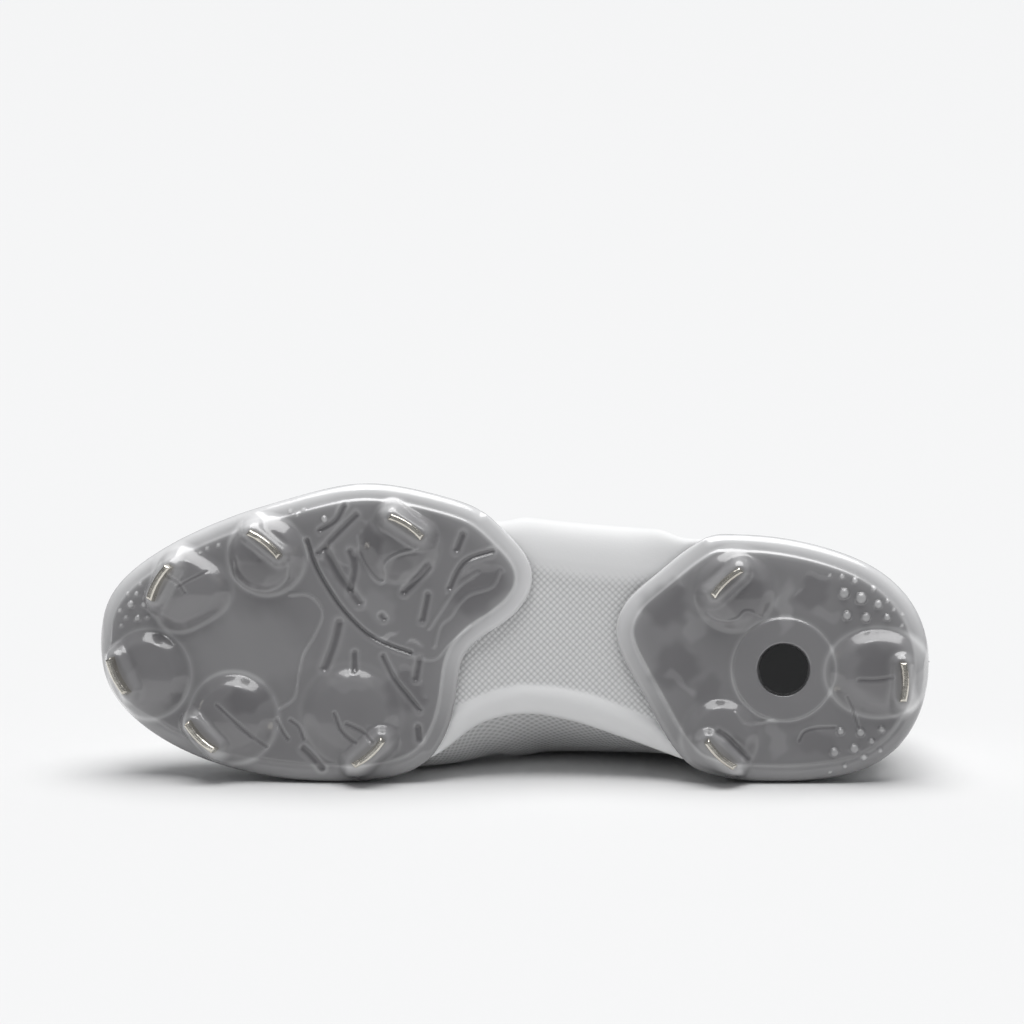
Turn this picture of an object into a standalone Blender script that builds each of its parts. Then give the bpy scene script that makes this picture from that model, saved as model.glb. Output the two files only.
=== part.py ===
"""A low baseball cleat for the left foot, lying on its inner side with the sole facing -Y and the toe at -X.

The shoe is first drawn flat on its last: s runs along the sole from heel to toe, w across it towards the
outer side, and z up from the underside of the sole plates. The toe spring and the arch then bend it, and
the last step lays it down on the three places that touch the floor. Units are metres.
"""

import math
from collections import namedtuple

import bmesh
import bpy
import numpy as np
from mathutils import Matrix, Vector

# Driving dimensions of the sole
LENGTH = 0.3045
BALL_WIDTH = 0.106
HEEL_STACK = 0.0245
FOREFOOT_STACK = 0.013
TOE_SPRING_START = 0.66
TOE_SPRING_DEG = 21.0
ARCH_LIFT = 0.005
ARCH_SPAN = (0.27, 0.60)
CLEARANCE = 0.0003
SEAT_CLEARANCE = 0.0005

# Sole plates
PLATE_THICKNESS = 0.003
PLATE_ROUNDING = 0.0016
RIM_WALL = 0.0018
RIM_HEIGHT = 0.0035
FIELD_MARGIN = 0.0065
FIELD_STEP = 0.0010
FIELD_ROUNDING = 0.0007
DOME_HEIGHT = 0.0052
BOSS_HEIGHT = 0.0078
BOSS_LENGTH = 0.0125
BOSS_WIDTH = 0.0056
RING_RADIUS = 0.0188
RING_STEP = 0.0018
BADGE_RADIUS = 0.0090
BADGE_THICKNESS = 0.0008

# Metal studs
STUD_LENGTH = 0.0152
STUD_THICKNESS = 0.0023
STUD_REACH = 0.0125
STUD_ROOT = 0.0040
STUD_CURVE = 0.0011
STUD_TAPER = 0.90
STUD_ROUNDING = 0.0005

# Midsole
MIDSOLE_LEAN = 0.0010
PLATE_ZONE_ROUNDING = 0.0022
OUTER_ARCH_ROUNDING = 0.0140
ARCH_FLARE = 0.0030
ARCH_FLARE_FROM = (0.285, 0.325)
ARCH_FLARE_TO = (0.475, 0.515)
INNER_ARCH_ROUNDING = 0.0095
ROUNDING_HEIGHT = 0.0075

# Upper
INSTEP_HEIGHT = 0.098
FEATHER_INSET = 0.0012
UPPER_WALL = 0.0024
COLLAR_WALL = 0.0062

# Insole
INSOLE_THICKNESS = 0.0040
INSOLE_CLEARANCE = 0.0016
INSOLE_ROUNDING = 0.0012

# Tongue
TONGUE_THICKNESS = 0.0048
TONGUE_CLEARANCE = 0.0016
TONGUE_FLAP = 0.026
TONGUE_FLAP_LEAN_DEG = 30.0
TONGUE_SHOULDER = 0.22
TONGUE_CROWN = 0.24
TONGUE_LINES = 10

# Eyestay, eyelets and lace
EYESTAY_THICKNESS = 0.0011
EYELET_PAIRS = 6
EYELET_RADIUS = 0.0023
EYELET_MARGIN = 0.0070
EYELET_SIDES = 6
LACE_RADIUS = 0.0016
LACE_CLEARANCE = 0.0006
LACE_SLACK = 0.02
LACE_STAGGER = 0.17

# How finely the curved forms are drawn
SOLE_STATIONS = 32
RIBS_PER_ROW = 3
RIB_STEPS = 9
ARCH_SLICES = 8
SPRING_SLICES = 6
SLICE_REACH = 2e-6
FLAT_ANGLE = math.radians(0.5)
DOME_SEGMENTS = 14
BOSS_SEGMENTS = 12

PAINT = {
    "forefoot_plate": ((0.36, 0.36, 0.37), 0.22, 0.0),
    "heel_plate": ((0.36, 0.36, 0.37), 0.22, 0.0),
    "heel_badge": ((0.02, 0.02, 0.02), 0.30, 0.0),
    "stud": ((0.62, 0.58, 0.52), 0.28, 1.0),
    "midsole": ((0.86, 0.86, 0.86), 0.55, 0.0),
    "upper": ((0.80, 0.80, 0.81), 0.75, 0.0),
    "tongue": ((0.74, 0.74, 0.76), 0.85, 0.0),
    "insole": ((0.45, 0.46, 0.48), 0.90, 0.0),
    "eyestay": ((0.88, 0.88, 0.88), 0.45, 0.0),
    "lace": ((0.90, 0.90, 0.90), 0.80, 0.0),
}

# Plan of the sole: station as a share of LENGTH, inner and outer edge as shares of BALL_WIDTH
Plan = namedtuple("Plan", "station inner outer")
SOLE_PLAN = (
    Plan(0.0000, -0.009, -0.009),
    Plan(0.0120, -0.195, 0.147),
    Plan(0.0360, -0.301, 0.245),
    Plan(0.0720, -0.374, 0.321),
    Plan(0.1200, -0.409, 0.375),
    Plan(0.1900, -0.420, 0.416),
    Plan(0.2400, -0.410, 0.424),
    Plan(0.2850, -0.372, 0.428),
    Plan(0.3580, -0.300, 0.440),
    Plan(0.4300, -0.235, 0.457),
    Plan(0.4750, -0.214, 0.472),
    Plan(0.5300, -0.245, 0.496),
    Plan(0.5800, -0.345, 0.532),
    Plan(0.6300, -0.402, 0.565),
    Plan(0.6700, -0.418, 0.579),
    Plan(0.7200, -0.420, 0.562),
    Plan(0.7650, -0.412, 0.532),
    Plan(0.8110, -0.392, 0.499),
    Plan(0.8580, -0.357, 0.452),
    Plan(0.9090, -0.297, 0.386),
    Plan(0.9500, -0.226, 0.315),
    Plan(0.9800, -0.145, 0.240),
    Plan(0.9965, -0.055, 0.150),
    Plan(1.0000, 0.045, 0.045),
)

# Free edge of each plate across the arch, from its inner to its outer end: shares of LENGTH and BALL_WIDTH
Edge = namedtuple("Edge", "station reach")
FOREFOOT_EDGE_ENDS = (0.597, 0.532)
FOREFOOT_EDGE = (
    Edge(0.576, -0.282),
    Edge(0.564, -0.185),
    Edge(0.559, -0.088),
    Edge(0.557, -0.005),
    Edge(0.544, 0.051),
    Edge(0.520, 0.092),
    Edge(0.496, 0.134),
    Edge(0.476, 0.196),
    Edge(0.469, 0.252),
    Edge(0.471, 0.308),
    Edge(0.483, 0.363),
    Edge(0.508, 0.425),
)
HEEL_EDGE_ENDS = (0.283, 0.259)
HEEL_EDGE = (
    Edge(0.306, -0.294),
    Edge(0.324, -0.206),
    Edge(0.339, -0.125),
    Edge(0.357, -0.036),
    Edge(0.370, 0.044),
    Edge(0.373, 0.104),
    Edge(0.367, 0.162),
    Edge(0.352, 0.222),
    Edge(0.324, 0.288),
    Edge(0.303, 0.340),
    Edge(0.283, 0.384),
)

# Pods: dome centre and radius, and the stud's middle and turn from the s axis; shares of LENGTH and BALL_WIDTH
Pod = namedtuple("Pod", "name plate dome_at dome_reach dome_radius stud_at stud_reach turn_deg")
PODS = (
    Pod("toe_inner", "forefoot", 0.931, -0.057, 0.160, 0.956, -0.060, 63),
    Pod("toe_outer", "forefoot", 0.881, 0.232, 0.146, 0.905, 0.256, 120),
    Pod("fore_outer", "forefoot", 0.785, 0.348, 0.142, 0.783, 0.387, 39),
    Pod("fore_inner", "forefoot", 0.826, -0.203, 0.160, 0.856, -0.263, 45),
    Pod("ball_outer", "forefoot", 0.626, 0.385, 0.150, 0.620, 0.446, 33),
    Pod("ball_inner", "forefoot", 0.685, -0.190, 0.175, 0.664, -0.313, 138),
    Pod("heel_outer", "heel", 0.232, 0.232, 0.140, 0.242, 0.258, 137),
    Pod("heel_inner", "heel", 0.248, -0.262, 0.130, 0.249, -0.318, 43),
    Pod("heel_rear", "heel", 0.062, -0.046, 0.140, 0.036, -0.075, 90),
)
RING_AT = Edge(0.174, -0.036)

# Height of the midsole's top between the forefoot (0) and the heel (1), by share of LENGTH
Stack = namedtuple("Stack", "station share")
MIDSOLE_STACK = (
    Stack(0.00, 1.00),
    Stack(0.14, 0.98),
    Stack(0.30, 0.78),
    Stack(0.45, 0.45),
    Stack(0.62, 0.12),
    Stack(0.76, 0.00),
    Stack(1.00, 0.00),
)

# Ribs of the upper, heel to toe, from the midsole's edge up to the topline. base and top_at are shares of LENGTH,
# top_height of INSTEP_HEIGHT, widths, bulges and reaches of BALL_WIDTH, and rise and drop of the rib's own height.
Rib = namedtuple(
    "Rib",
    "base top_at top_outer top_inner top_height bulge_outer bulge_inner rise reach_outer reach_inner drop",
)
RIBS = (
    Rib(0.000, 0.030, 0.000, 0.000, 0.920, 0.058, 0.058, 0.30, -0.030, -0.030, 0.33),
    Rib(0.022, 0.046, 0.155, 0.155, 0.880, 0.046, 0.036, 0.30, -0.020, -0.020, 0.33),
    Rib(0.085, 0.100, 0.268, 0.276, 0.770, 0.036, 0.008, 0.34, 0.012, 0.012, 0.34),
    Rib(0.180, 0.195, 0.300, 0.330, 0.705, 0.030, -0.005, 0.36, 0.030, 0.020, 0.34),
    Rib(0.300, 0.310, 0.276, 0.312, 0.790, 0.040, 0.050, 0.36, 0.060, 0.045, 0.30),
    Rib(0.420, 0.410, 0.202, 0.212, 1.000, 0.040, 0.230, 0.34, 0.120, 0.160, 0.20),
    Rib(0.520, 0.497, 0.152, 0.152, 0.930, 0.034, 0.300, 0.34, 0.145, 0.200, 0.24),
    Rib(0.620, 0.583, 0.127, 0.127, 0.812, 0.020, 0.110, 0.38, 0.170, 0.160, 0.20),
    Rib(0.730, 0.659, 0.100, 0.100, 0.700, 0.012, 0.010, 0.44, 0.190, 0.145, 0.18),
    Rib(0.840, 0.703, 0.068, 0.068, 0.634, 0.012, 0.006, 0.50, 0.210, 0.190, 0.15),
    Rib(0.940, 0.720, 0.034, 0.034, 0.604, 0.014, 0.010, 0.52, 0.260, 0.260, 0.13),
    Rib(1.000, 0.726, 0.000, 0.000, 0.596, 0.014, 0.014, 0.52, 0.320, 0.320, 0.12),
)
EYESTAY_ROW, TOE_ROW = 5, len(RIBS) - 1
COLLAR_FADE_ROWS = (3.6, 4.6)
COLLAR_FADE_RIB = (0.60, 0.86)
EYELET_ROWS = (5.22, 8.45)
EYESTAY_ROWS_FROM = 5.06
EYESTAY_FOOT = 0.80
EYESTAY_TOP = 0.985
TONGUE_ROWS = (10.5, 5.55)
TONGUE_SIDES = (0.82, 0.93)


def spline(knots, values, at):
    """Smooth curve through unevenly spaced knots, read at one place or many."""
    knots = np.asarray(knots, float)
    values = np.asarray(values, float)
    at = np.asarray(at, float)
    slopes = np.gradient(values, knots)
    i = np.clip(np.searchsorted(knots, at, side="right") - 1, 0, len(knots) - 2)
    span = knots[i + 1] - knots[i]
    t = (at - knots[i]) / span
    low = (1 + 2 * t) * (1 - t) ** 2 * values[i] + t * (1 - t) ** 2 * span * slopes[i]
    high = t**2 * (3 - 2 * t) * values[i + 1] + t**2 * (t - 1) * span * slopes[i + 1]
    return low + high


def smooth(low, high, value):
    """0 below low, 1 above high, with an even rise between."""
    t = np.clip((np.asarray(value, float) - low) / (high - low), 0.0, 1.0)
    return t * t * (3 - 2 * t)


def turn_of(station):
    """Share of LENGTH as a turn from 0 at the heel to 1 at the toe, in which round ends are smooth."""
    return np.arccos(1 - 2 * np.clip(station, 0, 1)) / math.pi


def station_of(turn):
    """Share of LENGTH at a turn of 0 to 1 up the outer side, or 1 to 2 back down the inner side."""
    return (1 - np.cos(math.pi * np.asarray(turn, float))) / 2


PLAN_TURNS = turn_of(np.array([row.station for row in SOLE_PLAN]))
OUTER_EDGE = [row.outer for row in SOLE_PLAN]
INNER_EDGE = [row.inner for row in SOLE_PLAN]


def plan_point(turn):
    """Point (s, w) on the sole's outline."""
    turn = np.mod(turn, 2.0)
    up_outer = turn <= 1
    folded = np.where(up_outer, turn, 2 - turn)
    reach = np.where(up_outer, spline(PLAN_TURNS, OUTER_EDGE, folded), spline(PLAN_TURNS, INNER_EDGE, folded))
    return np.stack([LENGTH * station_of(folded), BALL_WIDTH * reach], axis=-1)


def plan_normal(turn):
    """Outward direction (s, w) at the sole's outline."""
    step = 0.004
    along = plan_point(turn + step) - plan_point(turn - step)
    across = np.stack([-along[..., 1], along[..., 0]], axis=-1)
    return across / np.linalg.norm(across, axis=-1, keepdims=True)


def inset_plan(turn, inset):
    """Point (s, w) that lies inset inside the sole's outline."""
    return plan_point(turn) - plan_normal(turn) * np.asarray(inset)[..., None]


def side_inset(turn):
    """How far the midsole's side stays inside the outline: behind the plates' rims, but flared out at the arch."""
    station = station_of(turn)
    outer = np.where(np.mod(turn, 2.0) <= 1, 1.0, 0.0)
    between = smooth(*ARCH_FLARE_FROM, station) * (1 - smooth(*ARCH_FLARE_TO, station))
    return RIM_WALL + CLEARANCE - ARCH_FLARE * outer * between


def even_turns(count):
    """Turns from heel to toe that split the longer of the two edges evenly."""
    fine = np.linspace(0, 1, 400)
    outer = np.linalg.norm(np.diff(plan_point(fine), axis=0), axis=1)
    inner = np.linalg.norm(np.diff(plan_point(2 - fine), axis=0), axis=1)
    run = np.concatenate([[0], np.cumsum(np.maximum(outer, inner))])
    return np.interp(np.linspace(0, run[-1], count + 1), run, fine)


def loop_turns(count):
    """Turns once round the outline, with both sides at the same stations."""
    up = even_turns(count)
    return np.concatenate([up, 2 - up[-2:0:-1]])


def stack_height(station):
    """Height of the midsole's top above the plates' underside."""
    share = spline([row.station for row in MIDSOLE_STACK], [row.share for row in MIDSOLE_STACK], station)
    return FOREFOOT_STACK + (HEEL_STACK - FOREFOOT_STACK) * share


def bend(points):
    """Carries flat points (s, w, z) to the bent shoe (x forward, y to the outer side, z up)."""
    points = np.asarray(points, float)
    s, w, z = points[..., 0], points[..., 1], points[..., 2]
    start = TOE_SPRING_START * LENGTH
    radius = (LENGTH - start) / math.radians(TOE_SPRING_DEG)
    angle = np.maximum(s - start, 0) / radius
    low, high = ARCH_SPAN
    through = np.clip((s / LENGTH - low) / (high - low), 0, 1)
    lift = ARCH_LIFT * np.sin(math.pi * through) ** 2
    x = np.minimum(s, start) + (radius - z) * np.sin(angle)
    height = radius - (radius - z) * np.cos(angle) + lift
    return np.stack([x, w, height], axis=-1)


def bezier(p0, p1, p2, p3, t):
    """Point on a cubic curve."""
    u = 1 - t
    return u**3 * p0 + 3 * u**2 * t * p1 + 3 * u * t**2 * p2 + t**3 * p3


def round_the_loop(column_outer, column_inner, row):
    """Reads a column of RIBS at a row counted 0 to TOE_ROW up the outer side and on down the inner side."""
    values = list(column_outer) + list(column_inner)[-2:0:-1]
    count = len(values)
    pad = 3
    wrapped = values[-pad:] + values + values[: pad + 1]
    knots = np.arange(-pad, count + pad + 1)
    return spline(knots, wrapped, np.mod(row, count))


def rib_turn(row):
    """Turn of the rib's foot round the sole's outline."""
    feet = turn_of(np.array([rib.base for rib in RIBS]))
    loop = np.concatenate([feet, 2 - feet[-2:0:-1]])
    count = len(loop)
    pad = 3
    wrapped = np.concatenate([loop[-pad:] - 2, loop, loop[: pad + 1] + 2])
    return spline(np.arange(-pad, count + pad + 1), wrapped, row)


def upper_surface(row, up):
    """Outer face of the upper: row goes round the shoe and up runs from 0 at the midsole to 1 at the topline."""
    row, up = np.broadcast_arrays(np.asarray(row, float), np.asarray(up, float))

    def column(outer, inner=None):
        first = [getattr(rib, outer) for rib in RIBS]
        second = [getattr(rib, inner or outer) for rib in RIBS]
        return round_the_loop(first, second, row)

    turn = rib_turn(row)
    foot = inset_plan(turn, side_inset(turn) + MIDSOLE_LEAN + FEATHER_INSET)
    normal = plan_normal(turn)
    foot_height = stack_height(foot[..., 0] / LENGTH) + SEAT_CLEARANCE
    side = round_the_loop([rib.top_outer for rib in RIBS], [-rib.top_inner for rib in RIBS], row)
    top_height = INSTEP_HEIGHT * column("top_height")
    rise = top_height - foot_height
    bulge = BALL_WIDTH * column("bulge_outer", "bulge_inner")
    reach = BALL_WIDTH * column("reach_outer", "reach_inner")
    p0 = np.stack([foot[..., 0], foot[..., 1], foot_height], axis=-1)
    p3 = np.stack([LENGTH * column("top_at"), BALL_WIDTH * side, top_height], axis=-1)
    out = np.concatenate([normal, np.zeros(normal.shape[:-1] + (1,))], axis=-1)
    lift = np.array([0.0, 0.0, 1.0])
    p1 = p0 + out * bulge[..., None] + lift * (column("rise") * rise)[..., None]
    p2 = p3 + out * reach[..., None] - lift * (column("drop") * rise)[..., None]
    return bezier(p0, p1, p2, p3, up[..., None])


def upper_frame(row, up):
    """Bent point, outward normal and upward tangent of the upper's outer face."""
    step = 0.01
    here = bend(upper_surface(row, up))
    along = bend(upper_surface(row + step, up)) - bend(upper_surface(row - step, up))
    rising = bend(upper_surface(row, up + step)) - bend(upper_surface(row, up - step))
    normal = np.cross(rising, along)
    normal = normal / np.linalg.norm(normal, axis=-1, keepdims=True)
    return here, normal, rising / np.linalg.norm(rising, axis=-1, keepdims=True)


def inner_row(row):
    """The row of the inner side that faces a row of the outer side."""
    return 2 * TOE_ROW - row


def collection_named(name):
    """A new collection in the scene."""
    made = bpy.data.collections.new(name)
    bpy.context.scene.collection.children.link(made)
    return made


def clear_scene():
    """Removes what the file starts with."""
    for obj in list(bpy.data.objects):
        bpy.data.objects.remove(obj)


def finish_for(kind):
    """The material of one kind of piece."""
    found = bpy.data.materials.get(kind)
    if found:
        return found
    colour, roughness, metallic = PAINT[kind]
    material = bpy.data.materials.new(kind)
    material.use_nodes = True
    shader = material.node_tree.nodes["Principled BSDF"]
    shader.inputs["Base Color"].default_value = (*colour, 1.0)
    shader.inputs["Roughness"].default_value = roughness
    shader.inputs["Metallic"].default_value = metallic
    return material


def piece(name, mesh, kind, home):
    """A named object with its own material."""
    obj = bpy.data.objects.new(name, mesh)
    home.objects.link(obj)
    mesh.name = name
    mesh.materials.clear()
    mesh.materials.append(finish_for(kind))
    return obj


def cutter(name, mesh, home):
    """A helper that cuts or joins and isn't part of the shoe."""
    obj = bpy.data.objects.new(name, mesh)
    home.objects.link(obj)
    obj.hide_render = True
    obj.display_type = "WIRE"
    return obj


def closed_mesh(work, name):
    """Ends the bmesh of a closed solid as a mesh whose faces point out."""
    bmesh.ops.recalc_face_normals(work, faces=work.faces)
    if work.calc_volume(signed=True) < 0:
        bmesh.ops.reverse_faces(work, faces=work.faces)
    mesh = bpy.data.meshes.new(name)
    work.to_mesh(mesh)
    work.free()
    return mesh


def mesh_of(points, faces):
    """A closed mesh from its points and faces."""
    work = bmesh.new()
    corners = [work.verts.new(tuple(place)) for place in points]
    for face in faces:
        work.faces.new([corners[index] for index in face])
    return closed_mesh(work, "shape")


def baked(obj, modifiers):
    """The object's mesh with these modifiers applied, each a type and its settings."""
    for kind, settings in modifiers:
        modifier = obj.modifiers.new(kind.lower(), kind)
        for key, value in settings.items():
            setattr(modifier, key, value)
    graph = bpy.context.evaluated_depsgraph_get()
    mesh = bpy.data.meshes.new_from_object(obj.evaluated_get(graph))
    obj.modifiers.clear()
    return mesh


def boolean(operation, other):
    """Settings of a Boolean for baked()."""
    return ("BOOLEAN", {"operation": operation, "solver": "EXACT", "object": other})


def rings_to_mesh(rings):
    """A closed mesh from rings that run once round the sole, with ladders of faces across the first and last."""
    around = len(rings[0])
    half = around // 2
    points = np.concatenate(rings)
    faces = []
    for k in range(len(rings) - 1):
        for i in range(around):
            j = (i + 1) % around
            faces.append((k * around + i, k * around + j, (k + 1) * around + j, (k + 1) * around + i))
    for base in (0, (len(rings) - 1) * around):
        faces.append((base, base + 1, base + around - 1))
        for i in range(1, half - 1):
            faces.append((base + i, base + i + 1, base + around - i - 1, base + around - i))
        faces.append((base + half - 1, base + half, base + half + 1))
    return mesh_of(bend(points), faces)


def sole_ring(turns, inset, height):
    """One ring of flat points inside the sole's outline."""
    plan = inset_plan(turns, np.broadcast_to(inset, turns.shape))
    return np.column_stack([plan, np.broadcast_to(height, turns.shape)])


def stack_ring(turns, inset, above):
    """One ring of flat points inside the sole's outline, this far above the midsole's top."""
    ring = sole_ring(turns, inset, above)
    ring[:, 2] += stack_height(ring[:, 0] / LENGTH)
    return ring


def build_midsole(home):
    """Foam midsole: rounded underneath where the arch shows, and seated in the plates' rims elsewhere."""
    turns = loop_turns(SOLE_STATIONS)
    station = station_of(turns)
    low, high = ARCH_SPAN
    in_arch = smooth(low, low + 0.09, station) * (1 - smooth(high - 0.09, high, station))
    arch_rounding = np.where(turns <= 1, OUTER_ARCH_ROUNDING, INNER_ARCH_ROUNDING)
    rounding = PLATE_ZONE_ROUNDING + (arch_rounding - PLATE_ZONE_ROUNDING) * in_arch
    tall = PLATE_ZONE_ROUNDING + (ROUNDING_HEIGHT - PLATE_ZONE_ROUNDING) * in_arch
    bottom = PLATE_THICKNESS + CLEARANCE
    side = side_inset(turns)
    top = stack_height(station)
    rings = []
    for degrees in (0, 30, 60, 90):
        angle = math.radians(degrees)
        inset = side + rounding * (1 - math.sin(angle))
        rings.append(sole_ring(turns, inset, bottom + tall * (1 - math.cos(angle))))
    rings.append(sole_ring(turns, side + MIDSOLE_LEAN * 0.3, (bottom + tall + top) / 2))
    rings.append(stack_ring(turns, side + MIDSOLE_LEAN, 0.0))
    return piece("midsole", rings_to_mesh(rings), "midsole", home)


def build_insole(home):
    """Sock liner inside the upper, on the midsole."""
    turns = loop_turns(SOLE_STATIONS)
    inset = side_inset(turns) + MIDSOLE_LEAN + FEATHER_INSET + UPPER_WALL + INSOLE_CLEARANCE
    rings = [
        stack_ring(turns, inset, SEAT_CLEARANCE),
        stack_ring(turns, inset, SEAT_CLEARANCE + INSOLE_THICKNESS - INSOLE_ROUNDING),
        stack_ring(turns, inset + INSOLE_ROUNDING, SEAT_CLEARANCE + INSOLE_THICKNESS),
    ]
    return piece("insole", rings_to_mesh(rings), "insole", home)


def grid_faces(rows, columns, closed):
    """Faces of a grid of points, joined end to end where it is closed."""
    faces = []
    for i in range(rows if closed else rows - 1):
        for j in range(columns - 1):
            k = (i + 1) % rows
            faces.append((i * columns + j, i * columns + j + 1, k * columns + j + 1, k * columns + j))
    return faces


def shell(name, points, closed, thickness, shares, outward, home, kind):
    """An open grid given a wall with Solidify; shares scale the wall point by point."""
    rows, columns = points.shape[:2]
    mesh = bpy.data.meshes.new(name)
    mesh.from_pydata([tuple(p) for p in points.reshape(-1, 3)], [], grid_faces(rows, columns, closed))
    obj = piece(name, mesh, kind, home)
    weights = obj.vertex_groups.new(name="wall")
    for index, share in enumerate(np.asarray(shares, float).reshape(-1)):
        weights.add([index], float(share), "REPLACE")
    settings = {
        "thickness": thickness,
        "offset": 1.0 if outward else -1.0,
        "use_even_offset": True,
        "use_quality_normals": True,
        "vertex_group": "wall",
    }
    solid = baked(obj, [("SOLIDIFY", settings)])
    obj.vertex_groups.clear()
    obj.data = solid
    solid.name = name
    return obj


def eyelet_places():
    """Row and rib share of each eyelet, front pair last, for the outer and then the inner side."""
    rows = np.linspace(*EYELET_ROWS, EYELET_PAIRS)
    places = []
    for side in (lambda row: row, inner_row):
        for row in rows:
            ups = np.linspace(0.6, 1.0, 60)
            line = bend(upper_surface(np.full(60, side(row)), ups))
            run = np.linalg.norm(line - line[-1], axis=1)
            places.append((side(row), float(np.interp(-EYELET_MARGIN, -run, ups))))
    return places


def eyelet_cutters(home):
    """Pins that punch the eyelets through the upper and the eyestay."""
    pins = []
    for number, (row, up) in enumerate(eyelet_places()):
        point, normal, _ = upper_frame(np.array(row), np.array(up))
        work = bmesh.new()
        turn = Vector(normal).to_track_quat("Z", "Y").to_matrix().to_4x4()
        length = 6 * (UPPER_WALL + EYESTAY_THICKNESS)
        bmesh.ops.create_cone(
            work,
            cap_ends=True,
            segments=EYELET_SIDES,
            radius1=EYELET_RADIUS,
            radius2=EYELET_RADIUS,
            depth=length,
            matrix=Matrix.Translation(Vector(point)) @ turn,
        )
        pins.append(cutter(f"eyelet_pin_{number}", closed_mesh(work, "eyelet_pin"), home))
    return pins


def build_upper(home, pins):
    """The lasted upper: one wall from the midsole to the topline, thicker round the padded collar."""
    rows = np.arange(0, 2 * TOE_ROW, 1 / RIBS_PER_ROW)
    ups = np.linspace(0, 1, RIB_STEPS + 1)
    row_grid, up_grid = np.meshgrid(rows, ups, indexing="ij")
    points = bend(upper_surface(row_grid, up_grid))
    from_heel = np.minimum(row_grid, 2 * TOE_ROW - row_grid)
    padded = (1 - smooth(*COLLAR_FADE_ROWS, from_heel)) * smooth(*COLLAR_FADE_RIB, up_grid)
    wall = UPPER_WALL + (COLLAR_WALL - UPPER_WALL) * padded
    obj = shell("upper", points, True, COLLAR_WALL, wall / COLLAR_WALL, False, home, "upper")
    obj.data = baked(obj, [boolean("DIFFERENCE", pin) for pin in pins])
    return obj


def build_eyestay(home, pins):
    """Facing round the throat that carries the eyelets, laid on the upper."""
    step = 1 / RIBS_PER_ROW
    first = math.ceil(EYESTAY_ROWS_FROM / step) * step
    outer = np.concatenate([[EYESTAY_ROWS_FROM], np.arange(first, TOE_ROW, step)])
    rows = np.concatenate([outer, [TOE_ROW], inner_row(outer[::-1])])
    from_heel = np.minimum(rows, inner_row(rows))
    foot = EYESTAY_FOOT + 0.05 * smooth(8.0, TOE_ROW, from_heel)
    shared = [step / RIB_STEPS for step in range(RIB_STEPS) if foot.max() < step / RIB_STEPS < EYESTAY_TOP]
    ups = np.column_stack([foot] + [np.full(len(rows), up) for up in shared + [EYESTAY_TOP]])
    row_grid = np.broadcast_to(rows[:, None], ups.shape)
    point, normal, _ = upper_frame(row_grid, ups)
    lifted = point + normal * (CLEARANCE + 0.00015)
    obj = shell("eyestay", lifted, False, EYESTAY_THICKNESS, np.ones(ups.shape), True, home, "eyestay")
    obj.data = baked(obj, [boolean("DIFFERENCE", pin) for pin in pins])
    return obj


def tongue_top():
    """Outer face of the tongue as a grid: it follows the inside of the throat and then stands free."""
    rows = np.linspace(*TONGUE_ROWS, TONGUE_LINES)
    depth = UPPER_WALL + TONGUE_CLEARANCE
    lines = []
    for row in rows:
        low = TONGUE_SIDES[0] + (TONGUE_SIDES[1] - TONGUE_SIDES[0]) * smooth(7.0, EYESTAY_ROW, row)
        ups = np.array([low, (low + 1) / 2, 0.995])
        outer, outer_normal, outer_rise = upper_frame(np.full(3, row), ups)
        inner, inner_normal, inner_rise = upper_frame(np.full(3, inner_row(row)), ups)
        outer = outer - outer_normal * depth
        inner = inner - inner_normal * depth
        span = np.linalg.norm(outer[-1] - inner[-1])
        reach = TONGUE_CROWN * span
        across = [
            bezier(outer[-1], outer[-1] + outer_rise[-1] * reach, inner[-1] + inner_rise[-1] * reach, inner[-1], t)
            for t in (0.25, 0.5, 0.75)
        ]
        lines.append(np.concatenate([outer, across, inner[::-1]]))
    lean = math.radians(TONGUE_FLAP_LEAN_DEG)
    away = np.array([-math.sin(lean), 0.0, math.cos(lean)])
    last = lines[-1]
    middle = last.mean(axis=0)
    shortened = 1 - TONGUE_SHOULDER * np.linspace(-1, 1, len(last)) ** 2
    for share in (0.4, 0.8, 1.0):
        line = last + away * TONGUE_FLAP * share * shortened[:, None]
        line[:, 1] = middle[1] + (line[:, 1] - middle[1]) * (1 - TONGUE_SHOULDER * math.sqrt(share))
        lines.append(line)
    return np.array(lines[::-1])


def build_tongue(home):
    """Padded tongue."""
    points = tongue_top()
    edge = np.ones(points.shape[:2])
    return shell("tongue", points, False, TONGUE_THICKNESS, edge, False, home, "tongue")


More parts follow.
